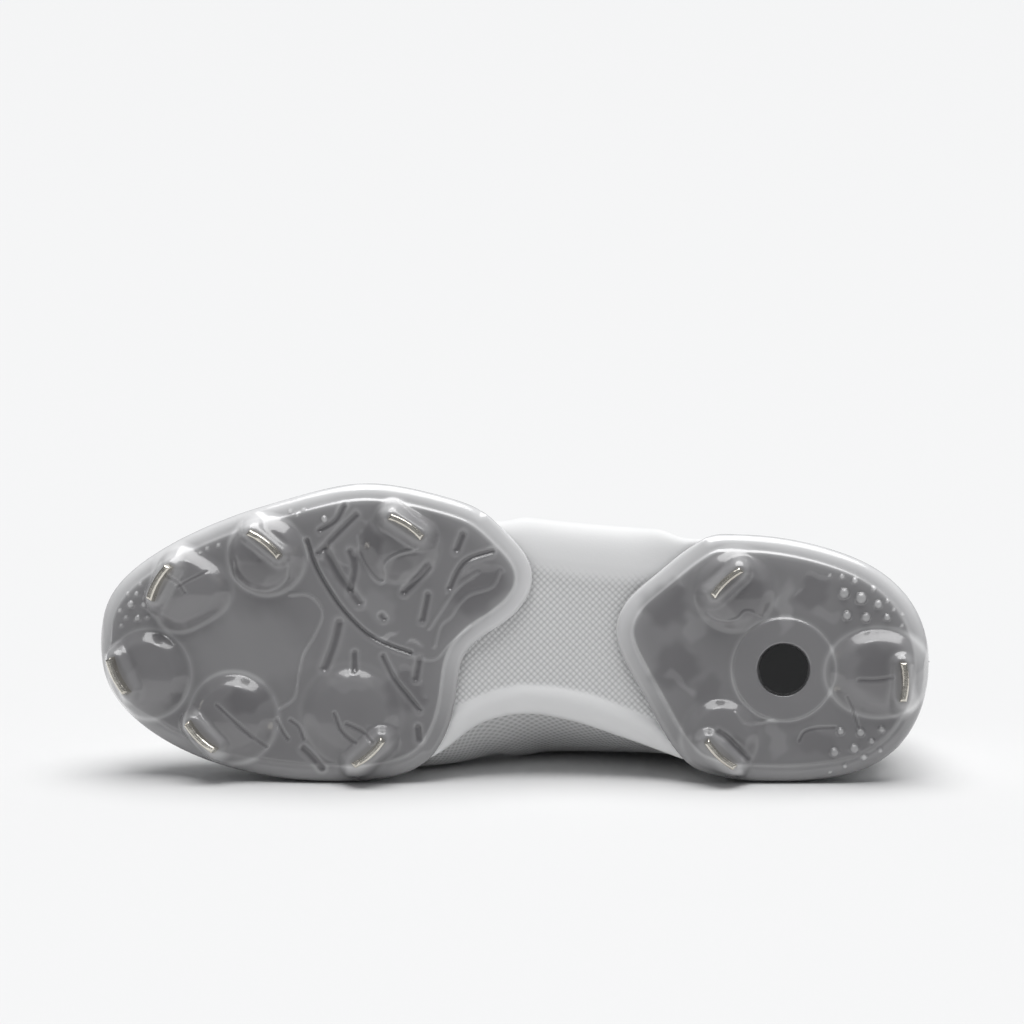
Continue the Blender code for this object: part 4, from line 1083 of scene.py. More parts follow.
@dataclass
class SoleLoft:
    """A closed body lofted heel to toe between the sole's two edges."""

    name: str
    slot: str
    node: str
    sections: int = 300
    under: int = 50
    over: int = 8
    corner: int = 9
    side: int = 7

    def edges(self, turn: Array, left: bool) -> Array:
        """Inset of each side from the outline at these turns."""
        return LAST.side_inset(2 - turn if left else turn)

    def bottom(self, turn: Array) -> Array:
        """Height of the underside."""
        raise NotImplementedError

    def top(self, s: Array) -> Array:
        """Height of the top."""
        raise NotImplementedError

    def rounding(self, turn: Array, left: bool) -> tuple[Array, Array]:
        """Width and height of the lower corner's rounding."""
        raise NotImplementedError

    def top_rounding(self) -> float:
        """Radius of the upper corner."""
        return 0.0008

    def relief(self, s: Array, w: Array) -> Array:
        """Height added to the underside."""
        return np.zeros_like(s)

    def half_ring(self, turn: Array, left: bool) -> Array:
        """Points from the middle of the underside up one side to the middle of the top.

        Args:
            turn: turns from heel, 0, to toe, 1.
            left: True for the inner side.

        Returns:
            Array (sections, points, 3), flat.
        """
        loop = 2 - turn if left else turn
        inset = self.edges(turn, left)
        wide, tall = self.rounding(turn, left)
        bottom = self.bottom(turn)
        centre = (LAST.plan_point(turn) + LAST.plan_point(2 - turn)) / 2
        rings = []
        inner_edge = LAST.inset_plan(loop, inset + wide)
        for share in np.linspace(0, 1, self.under, endpoint=False):
            plan = centre * (1 - share) + inner_edge * share
            rings.append(np.column_stack([plan, bottom]))
        for angle in np.linspace(0, math.pi / 2, self.corner):
            plan = LAST.inset_plan(loop, inset + wide * (1 - math.sin(angle)))
            rings.append(np.column_stack([plan, bottom + tall * (1 - math.cos(angle))]))
        lean = LAST.midsole_lean
        edge = self.top_rounding()
        for share in np.linspace(0, 1, self.side)[1:]:
            plan = LAST.inset_plan(loop, inset + lean * share)
            height = (bottom + tall) * (1 - share) + (self.top(plan[:, 0]) - edge) * share
            rings.append(np.column_stack([plan, height]))
        for angle in np.linspace(0, math.pi / 2, 4)[1:]:
            plan = LAST.inset_plan(loop, inset + lean + edge * (1 - math.cos(angle)))
            rings.append(np.column_stack([plan, self.top(plan[:, 0]) - edge * (1 - math.sin(angle))]))
        rim = LAST.inset_plan(loop, inset + lean + edge)
        for share in np.linspace(1, 0, self.over)[1:]:
            plan = centre * (1 - share) + rim * share
            rings.append(np.column_stack([plan, self.top(plan[:, 0])]))
        return np.stack(rings, axis=1)

    def build(self, *materials: Material) -> Object:
        """Makes the body and attaches it in place of its node."""
        turn = np.linspace(0, 1, self.sections)
        outer = self.half_ring(turn, False)
        inner = self.half_ring(turn, True)
        outer[[0, -1], :, :2] = (outer[[0, -1], :, :2] + inner[[0, -1], :, :2]) / 2
        inner[[0, -1], :, :2] = outer[[0, -1], :, :2]
        ring = np.concatenate([outer, inner[:, ::-1][:, 1:]], axis=1)
        under = ring[..., 2] < self.bottom(turn)[:, None] + 0.0008
        ring[..., 2] += np.where(under, self.relief(ring[..., 0], ring[..., 1]), 0.0)
        uv = ring[..., :2].copy()
        walls = (~under)[..., None] & (np.arange(2)[None, None] == 1)
        uv = np.where(walls, ring[..., 2:] + 0.2, uv)
        obj = woven_sheet(LAST.place(ring), uv, joined=True)
        face_outwards(obj)
        finish_piece(obj, self.name, self.slot, *materials)
        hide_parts(self.node)
        return obj


@dataclass
class Midsole(SoleLoft):
    """Foam midsole, rounded underneath where the arch shows."""

    name: str = "midsole_foam_body"
    slot: str = "midsole_foam"
    node: str = "midsole"
    zone_rounding: float = 0.0022
    outer_rounding: float = 0.0140
    inner_rounding: float = 0.0095
    rounding_height: float = 0.0075
    seat: float = 0.0033
    dish: float = 0.0011
    dish_from: tuple[float, float] = (0.29, 0.34)
    dish_to: tuple[float, float] = (0.56, 0.61)
    dish_sides: tuple[float, float] = (0.0022, 0.010)
    line_width: float = 0.0007
    line_depth: float = 0.0004
    grain_from: tuple[float, float] = (0.0012, 0.0040)
    grain_to: tuple[float, float] = (0.0, 0.009)
    grain_top: float = 0.0085
    inner_rim: tuple[tuple[float, float], ...] = (
        (80.0, -34.0),
        (96.9, -25.8),
        (108.0, -21.1),
        (121.7, -15.7),
        (135.4, -12.8),
        (147.6, -12.1),
        (157.4, -14.2),
        (170.0, -19.3),
        (182.0, -27.0),
    )
    outer_rim: tuple[tuple[float, float], ...] = ((85.0, 32.0), (111.6, 33.3), (126.0, 34.7), (150.0, 39.0))

    def _in_arch(self, turn: Array) -> Array:
        """Share of the arch's form at these turns."""
        station = LAST.station_of(turn)
        low, high = LAST.arch_span
        return smooth(low, low + 0.09, station) * (1 - smooth(high - 0.09, high, station))

    def rounding(self, turn: Array, left: bool) -> tuple[Array, Array]:
        """Width and height of the lower corner's rounding."""
        arch = self._in_arch(turn)
        wide = self.inner_rounding if left else self.outer_rounding
        return (
            self.zone_rounding + (wide - self.zone_rounding) * arch,
            self.zone_rounding + (self.rounding_height - self.zone_rounding) * arch,
        )

    def bottom(self, turn: Array) -> Array:
        """Height of the underside, seated on the plates."""
        return np.full_like(turn, self.seat)

    def top(self, s: Array) -> Array:
        """Height of the top."""
        return LAST.stack_height(s / LAST.length)

    def rims(self, s: Array) -> tuple[Array, Array]:
        """Where the grained middle of the arch ends, on the inner and the outer side."""
        inner, outer = (np.array(rim).T * MM for rim in (self.inner_rim, self.outer_rim))
        return np.interp(s, *inner), np.interp(s, *outer)

    def relief(self, s: Array, w: Array) -> Array:
        """Hollows the arch a little between its two rims."""
        inner, outer = self.rims(s)
        station = s / LAST.length
        arch = smooth(*self.dish_from, station) * (1 - smooth(*self.dish_to, station))
        hollow = smooth(0.0, self.dish_sides[0], w - inner) * smooth(0.0, self.dish_sides[1], outer - w)
        line = np.exp(-(((w - inner - 0.0004) / self.line_width) ** 2))
        return (self.dish * hollow + self.line_depth * line) * arch

    def build(self, *materials: Material) -> Object:
        """Makes the midsole and marks where its underside is grained."""
        obj = super().build(*materials)
        flat = LAST.unbend(LAST.stand(coordinates(obj)))
        inner, outer = self.rims(flat[:, 0])
        grain = smooth(*self.grain_from, flat[:, 1] - inner) * smooth(*self.grain_to, outer - flat[:, 1])
        store(obj, "grain", grain * (flat[:, 2] < self.grain_top))
        return obj


@dataclass
class Insole(SoleLoft):
    """Sock liner inside the upper."""

    name: str = "insole_pad"
    slot: str = "insole_foam"
    node: str = "insole"
    sections: int = 90
    under: int = 8
    over: int = 14
    inset: float = 0.0012 + 0.0024 + 0.0016
    thickness: float = 0.0038
    lift: float = 0.0006

    def edges(self, turn: Array, left: bool) -> Array:
        """Inset of each side from the outline."""
        return super().edges(turn, left) + self.inset

    def rounding(self, turn: Array, left: bool) -> tuple[Array, Array]:
        """Width and height of the lower corner's rounding."""
        return np.full_like(turn, 0.0006), np.full_like(turn, 0.0006)

    def bottom(self, turn: Array) -> Array:
        """Height of the underside."""
        return LAST.stack_height(LAST.station_of(turn)) + self.lift

    def top(self, s: Array) -> Array:
        """Height of the top."""
        return LAST.stack_height(s / LAST.length) + self.lift + self.thickness

    def top_rounding(self) -> float:
        """Radius of the upper corner."""
        return 0.0012


@dataclass(frozen=True)
class Panel:
    """A film over toe or heel, with its upper edge and seam as curves: peak, fall and power of the fall."""

    name: str
    middle: float
    edge: tuple[float, float, float]
    sewn_reach: float
    sewn: tuple[float, float, float]
    reach: float = 2.7
    foot: float = 0.012
    thickness: float = 0.0006
    lift: float = 0.0003

    def line(self, reach: float, curve: tuple[float, float, float]) -> tuple[Array, Array]:
        """Rows within reach of the middle, and the curve's height at each."""
        away = np.linspace(-reach, reach, 120)
        peak, fall, power = curve
        return self.middle + away, peak - fall * (np.abs(away) / self.reach) ** power


PANELS = (
    Panel("toe_guard", LAST.rows, (0.40, 0.36, 2.6), 2.5, (0.385, 0.25, 2.2)),
    Panel("heel_counter", 0.0, (0.56, 0.52, 2.0), 2.55, (0.535, 0.32, 1.8)),
)


@dataclass
class Upper:
    """The lasted upper with its padded collar, facing, overlays, seams and laces."""

    wall: float = 0.0024
    collar_wall: float = 0.0062
    collar_rows: tuple[float, float] = (3.6, 4.6)
    collar_ribs: tuple[float, float] = (0.60, 0.86)
    flex_row: float = 8.6
    flex_depth: float = 0.0004
    quilt_up: float = 0.74
    quilt_depth: float = 0.0007
    heel_seam_depth: float = 0.0003
    welt_depth: float = 0.0005
    topline: float = 0.988
    cap_rise: float = 0.42
    lines: int = 264
    outer_places: int = 52
    cap_places: int = 7
    inner_places: int = 34
    eyelet_pairs: int = 6
    eyelet_rows: tuple[float, float] = (5.22, 8.45)
    eyelet_radius: float = 0.0023
    eyelet_margin: float = 0.0070
    eyestay_from: float = 5.06
    eyestay_foot: float = 0.80
    eyestay_top: float = 0.985
    eyestay_thickness: float = 0.0011
    eyestay_dip: float = 0.05
    eyestay_dip_rows: tuple[float, float] = (8.0, 11.0)
    facing_lift: float = 0.00045
    film_places: int = 26
    film_fade: tuple[float, float] = (0.05, 0.012)
    core_span: tuple[float, float] = (0.05, 0.24)
    pin_length: float = 0.022
    ring_lift: float = 0.0006
    ring_margin: float = 0.0007
    ring_radius: float = 0.0008
    thread_radius: float = 0.00038
    stitch: float = 0.0026
    lace_radius: float = 0.0016
    lace_clearance: float = 0.0012

    def wall_at(self, row: Array, up: Array) -> Array:
        """Thickness of the wall, more round the padded collar."""
        row = np.mod(row, 2 * LAST.rows)
        from_heel = np.minimum(row, LAST.other_side(row))
        padded = (1 - smooth(*self.collar_rows, from_heel)) * smooth(*self.collar_ribs, up)
        return self.wall + (self.collar_wall - self.wall) * padded

    def creases(self, row: Array, up: Array) -> Array:
        """Small inward moves of the cloth: a flex crease over the toes and a quilted collar."""
        from_heel = np.minimum(row, LAST.other_side(row))
        over_toes = smooth(0.25, 0.5, up) * (1 - smooth(0.80, 0.95, up))
        vamp = np.exp(-(((from_heel - self.flex_row) / 0.5) ** 2)) * over_toes
        crease = self.flex_depth * vamp * np.sin(9.0 * up + 2.0 * np.sin(row))
        quilt = np.exp(-(((up - self.quilt_up) / 0.012) ** 2)) * (1 - smooth(3.8, 4.6, from_heel))
        heel_seam = np.exp(-((from_heel / 0.05) ** 2)) * smooth(0.5, 0.6, up)
        welt = np.exp(-((up / 0.015) ** 2))
        return crease - self.quilt_depth * quilt - self.heel_seam_depth * heel_seam - self.welt_depth * welt

    def profile(self, row: Array, along: Array) -> Array:
        """Points round the wall's own section.

        Args:
            row: rows round the shoe.
            along: 0 to 1 up the outside, 1 to 2 over the topline, 2 to 3 down the inside.

        Returns:
            Placed points.
        """
        top = self.topline
        up = np.where(along <= 1, along * top, np.where(along <= 2, top, (3 - along) * top))
        point, normal, rising = LAST.rib_frame(row, up)
        wall = self.wall_at(row, up)[..., None]
        outside = point + normal * self.creases(row, up)[..., None]
        angle = (math.pi * np.clip(along - 1, 0, 1))[..., None]
        over = point - normal * wall / 2 * (1 - np.cos(angle)) + rising * wall * self.cap_rise * np.sin(angle)
        inside = point - normal * wall
        part = along[..., None]
        return np.where(part <= 1, outside, np.where(part <= 2, over, inside))

    def build_shell(self, holes: list[Object], outside: Material, lining: Material) -> Object:
        """Makes the upper, with cloth outside and lining inside."""
        rows = np.linspace(0, 2 * LAST.rows, self.lines + 1)
        along = np.concatenate(
            [
                np.linspace(0, 1, self.outer_places),
                np.linspace(1, 2, self.cap_places)[1:],
                np.linspace(2, 3, self.inner_places)[1:],
                [3.0],
            ]
        )
        grid = np.meshgrid(rows, along, indexing="ij")
        points = self.profile(*grid)
        points[:, -1] = points[:, 0]
        points[-1] = points[0]
        obj = woven_sheet(points, joined=True)
        face_outwards(obj)
        centres = np.array([face.center for face in obj.data.polygons])
        normals = np.array([face.normal for face in obj.data.polygons])
        flat = LAST.stand(centres)
        inwards = LAST.stand(centres + normals * 0.002) - flat
        middle = np.column_stack([np.clip(flat[:, 0], *self.core_span), np.zeros(len(flat)), flat[:, 2]])
        lined = np.einsum("ij,ij->i", middle - flat, inwards) > 0
        obj.data.polygons.foreach_set("material_index", lined.astype(np.int32))
        self.punch(obj, holes)
        finish_piece(obj, "upper_shell", "upper_mesh", outside, lining)
        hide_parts("upper")
        return obj

    def overlay(self, rows: Array, low: Array, high: Array, thickness: float, lift: float) -> Object:
        """A film laid on the upper between two heights, with soft edges.

        Args:
            rows: its lines round the shoe.
            low: lower height of each line.
            high: upper height of each line.
            thickness: of the film.
            lift: how far its back lies above the cloth.

        Returns:
            The film, not yet finished.
        """
        share = np.linspace(0, 1, self.film_places)[None, :]
        ups = low[:, None] * (1 - share) + high[:, None] * share
        point, normal, _ = LAST.rib_frame(np.broadcast_to(rows[:, None], ups.shape), ups)
        ends = np.minimum(np.linspace(0, 1, len(rows)), np.linspace(1, 0, len(rows)))[:, None]
        across, along = self.film_fade
        soft = np.sqrt(np.clip(np.minimum(share, 1 - share) / across, 0, 1))
        soft = soft * np.sqrt(np.clip(ends / along, 0, 1))
        outer = point + normal * (lift + thickness * (0.25 + 0.75 * soft))[..., None]
        back = point + normal * lift
        points = np.concatenate([outer, back[:, ::-1], outer[:, :1]], axis=1)
        closed = np.concatenate([self._end_line(outer, back, 0), points, self._end_line(outer, back, -1)])
        obj = woven_sheet(closed, joined=True)
        face_outwards(obj)
        return obj

    def _end_line(self, outer: Array, back: Array, line: int) -> Array:
        """A line that closes a film's end, halfway through its thickness."""
        middle = (outer[line] + back[line]) / 2
        return np.concatenate([middle, middle[::-1], middle[:1]])[None]

    def eyelets(self) -> list[tuple[float, float]]:
        """Row and height of each eyelet, outer side and then inner side, front pair last."""
        rows = np.linspace(*self.eyelet_rows, self.eyelet_pairs)
        ups = np.linspace(0.6, 1.0, 60)
        places = []
        for side in Side:
            for row in rows:
                there = row if side is Side.OUTER else LAST.other_side(row)
                line = LAST.bend(LAST.surface(np.full(60, there), ups))
                run = np.linalg.norm(line - line[-1], axis=1)
                places.append((float(there), float(np.interp(-self.eyelet_margin, -run, ups))))
        return places

    def eyelet_frames(self) -> Iterator[tuple[Array, Array, Euler]]:
        """Place, outward direction and turn of each eyelet."""
        for row, up in self.eyelets():
            point, normal, _ = LAST.rib_frame(np.array(row), np.array(up))
            yield point, normal, Vector(normal).to_track_quat("Z", "Y").to_euler()

    def punches(self) -> list[Object]:
        """Pins that punch the eyelets."""
        pins = []
        for point, _, turn in self.eyelet_frames():
            deselect()
            bpy.ops.mesh.primitive_cylinder_add(
                vertices=20,
                radius=self.eyelet_radius,
                depth=self.pin_length,
                location=tuple(point),
                rotation=turn,
            )
            pins.append(bpy.context.object)
        return pins

    def punch(self, obj: Object, pins: list[Object]) -> None:
        for pin in pins:
            apply(obj, "BOOLEAN", operation="DIFFERENCE", object=pin, solver="EXACT")

    def facing_rows(self, inset: float, count: int) -> tuple[Array, Array]:
        """Rows round the throat's facing, and the height of its foot at each."""
        first = self.eyestay_from + inset
        rows = np.linspace(first, LAST.other_side(first), count)
        from_heel = np.minimum(rows, LAST.other_side(rows))
        return rows, self.eyestay_foot + self.eyestay_dip * smooth(*self.eyestay_dip_rows, from_heel)

    def build_eyestay(self, pins: list[Object], film: Material) -> Object:
        """Makes the facing that carries the eyelets."""
        rows, foot = self.facing_rows(0.0, 200)
        top = np.full_like(rows, self.eyestay_top)
        obj = self.overlay(rows, foot, top, self.eyestay_thickness, self.facing_lift)
        self.punch(obj, pins)
        finish_piece(obj, "eyestay_facing", "eyestay_film", film)
        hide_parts("eyestay")
        return obj

    def build_overlays(self, film: Material) -> None:
        """Lays the toe guard and the heel counter."""
        for panel in PANELS:
            rows, high = panel.line(panel.reach, panel.edge)
            low = np.full_like(rows, panel.foot)
            obj = self.overlay(rows, low, high, panel.thickness, panel.lift)
            finish_piece(obj, panel.name, "upper_mesh", film)

    def build_rings(self, thread: Material) -> Object:
        """Makes the reinforcing rings of the eyelets as one piece."""
        rings = []
        for point, normal, turn in self.eyelet_frames():
            deselect()
            bpy.ops.mesh.primitive_torus_add(
                location=tuple(point + normal * (self.eyestay_thickness + self.ring_lift)),
                rotation=turn,
                major_segments=28,
                minor_segments=10,
                major_radius=self.eyelet_radius + self.ring_margin,
                minor_radius=self.ring_radius,
            )
            make_active(bpy.context.object)
            bpy.ops.object.transform_apply(location=True, rotation=True, scale=True)
            rings.append(bpy.context.object)
        return finish_piece(joined_piece(rings), "eyelet_rings", "eyestay_film", thread)

    def seam(self, rows: Array, ups: Array, lift: float) -> Object:
        """A line of stitches on the upper."""
        point, normal, _ = LAST.rib_frame(rows, np.broadcast_to(ups, rows.shape))
        route = point + normal * lift
        return Tube(route, self.thread_radius, 0.00045, sides=6, stitch=self.stitch, up=normal).build()

    def build_stitches(self, thread: Material) -> Object:
        """Sews the facing, the collar and the overlays."""
        rows, foot = self.facing_rows(0.08, 160)
        facing = self.facing_lift + self.eyestay_thickness
        facing_ups = (foot + 0.016, foot + 0.034, self.eyestay_top - 0.020)
        parts = [self.seam(rows, ups, facing) for ups in facing_ups]
        collar = np.linspace(-4.6, 4.6, 160)
        parts += [self.seam(collar, up, -0.0001) for up in (0.727, 0.753)]
        parts += [self.seam(*panel.line(panel.sewn_reach, panel.sewn), 0.0007) for panel in PANELS[::-1]]
        return finish_piece(joined_piece(parts), "seam_stitches", "upper_mesh", thread)

    def lace_route(self, start: tuple[float, float], end_row: float) -> tuple[Array, Array]:
        """Route and upward directions of one lace run, from its eyelet to under the far edge."""
        lift = self.eyestay_thickness + self.lace_radius + self.lace_clearance
        ups = np.linspace(start[1], 0.99, 3)
        near, near_normal, near_rise = LAST.rib_frame(np.full(3, start[0]), ups)
        top = near + near_normal * lift
        far, far_normal, far_rise = LAST.rib_frame(np.array(end_row), np.array(0.99))
        far = far + far_normal * lift
        span = np.linalg.norm(far - top[-1])
        reach = 0.26 * span
        p1 = top[-1] + near_rise[-1] * reach
        p2 = far + far_rise * reach
        eyelet, outwards = near[0], near_normal[0]
        route = [eyelet - outwards * 0.004, eyelet + outwards * 0.0006, top[0] * 0.5 + top[1] * 0.5]
        lifts = [near_rise[0], near_rise[0], near_normal[1]]
        for t in np.linspace(0, 0.94, 9):
            u = 1 - t
            route.append(u**3 * top[-1] + 3 * u**2 * t * p1 + 3 * u * t**2 * p2 + t**3 * far)
            lifts.append(near_normal[-1] * u + far_normal * t)
        under, under_normal, _ = LAST.rib_frame(np.array(end_row), np.array(0.975))
        route.append(under - under_normal * 0.0032)
        lifts.append(under_normal)
        return np.array(route), np.array(lifts)

    def build_laces(self, cord: Material) -> None:
        """Makes the crossings of the lace, one piece for each pair."""
        places = self.eyelets()
        outer = places[: self.eyelet_pairs]
        inner = places[self.eyelet_pairs :]
        for k in range(self.eyelet_pairs - 1):
            end_row = outer[k][0] + 0.17
            parts = []
            for start, end in ((outer[k + 1], float(LAST.other_side(end_row))), (inner[k + 1], end_row)):
                route, lifts = self.lace_route(start, end)
                cord_radius = self.lace_radius * 1.08
                parts.append(Tube(route, cord_radius, 0.0007, sides=14, flat=0.92, up=lifts).build())
            obj = joined_piece(parts)
            finish_piece(obj, f"lace_run_{k + 1}", "lace_cord", cord)
            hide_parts(f"lace_crossing_{k + 1}")


@dataclass
class Tongue:
    """Padded tongue, smoothed from its solid."""

    node: str = "tongue"
    levels: int = 2

    def build(self, node: Object, cloth: Material) -> Object:
        """Makes the tongue."""
        obj = node.copy()
        obj.data = node.data.copy()
        obj.parent = None
        obj.matrix_world = Matrix.Identity(4)
        bpy.context.scene.collection.objects.link(obj)
        for key in list(obj.keys()):
            del obj[key]
        apply(obj, "WELD", merge_threshold=NODE_WELD_WIDTH)
        with editing(obj):
            angles = {"face_threshold": math.radians(40), "shape_threshold": math.radians(60)}
            bpy.ops.mesh.tris_convert_to_quads(**angles)
        apply(obj, "SUBSURF", levels=self.levels, render_levels=self.levels)
        finish_piece(obj, "tongue_pad", "tongue_cloth", cloth)
        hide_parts(self.node)
        return obj


@dataclass
class Studio:
    """The plain pale floor, the soft light and the camera."""

    target: tuple[float, float, float] = (0.0008, -0.0533, 0.0451)
    elevation_deg: float = 9.0
    distance: float = 1.55
    lens: float = 151.3
    shift: tuple[float, float] = (-0.0019, 0.1432)
    floor_size: float = 400.0
    floor_shade: float = 0.78
    sky: tuple[float, float, float, float] = (0.93, 0.95, 0.98, 1)
    sky_strength: float = 0.22
    # Name, strength, width in degrees and direction of each far light
    suns: tuple[tuple, ...] = (
        ("key_panel", 2.95, 60.0, (0.05, 0.06, 1.0)),
        ("spark_panel", 0.20, 14.0, (-0.12, -0.45, 1.0)),
    )

    def build(self) -> None:
        """Makes the floor, lights and camera."""
        deselect()
        bpy.ops.mesh.primitive_plane_add(size=self.floor_size, location=(0, 0, 0))
        floor = bpy.context.object
        floor.name = "studio_floor"
        shader = Shader("studio_paper", grey(self.floor_shade), 0.9, Specular_IOR_Level=0.1)
        floor.data.materials.append(shader.material)
        world = bpy.data.worlds.new("studio_world")
        world.use_nodes = True
        background = world.node_tree.nodes["Background"]
        background.inputs["Color"].default_value = self.sky
        background.inputs["Strength"].default_value = self.sky_strength
        bpy.context.scene.world = world
        for sun in self.suns:
            self.sun(*sun)
        bpy.context.scene.view_settings.view_transform = "Standard"
        self.camera()

    def sun(self, name: str, power: float, wide_deg: float, towards: Sequence[float]) -> None:
        """A soft far light that comes from a direction."""
        light = bpy.data.lights.new(name, "SUN")
        light.energy = power
        light.angle = math.radians(wide_deg)
        obj = bpy.data.objects.new(name, light)
        obj.rotation_euler = Vector(towards).to_track_quat("Z", "Y").to_euler()
        bpy.context.scene.collection.objects.link(obj)

    def camera(self) -> None:
        """The camera at the photograph's angle."""
        data = bpy.data.cameras.new("studio_camera")
        data.lens = self.lens
        data.sensor_width = 36.0
        data.shift_x, data.shift_y = self.shift
        data.clip_end = 1000.0
        obj = bpy.data.objects.new("studio_camera", data)
        tilt = math.radians(self.elevation_deg)
        away = Vector((0, -math.cos(tilt), math.sin(tilt))) * self.distance
        obj.location = Vector(self.target) + away
        obj.rotation_euler = (math.pi / 2 - tilt, 0, 0)
        bpy.context.scene.collection.objects.link(obj)
        bpy.context.scene.camera = obj


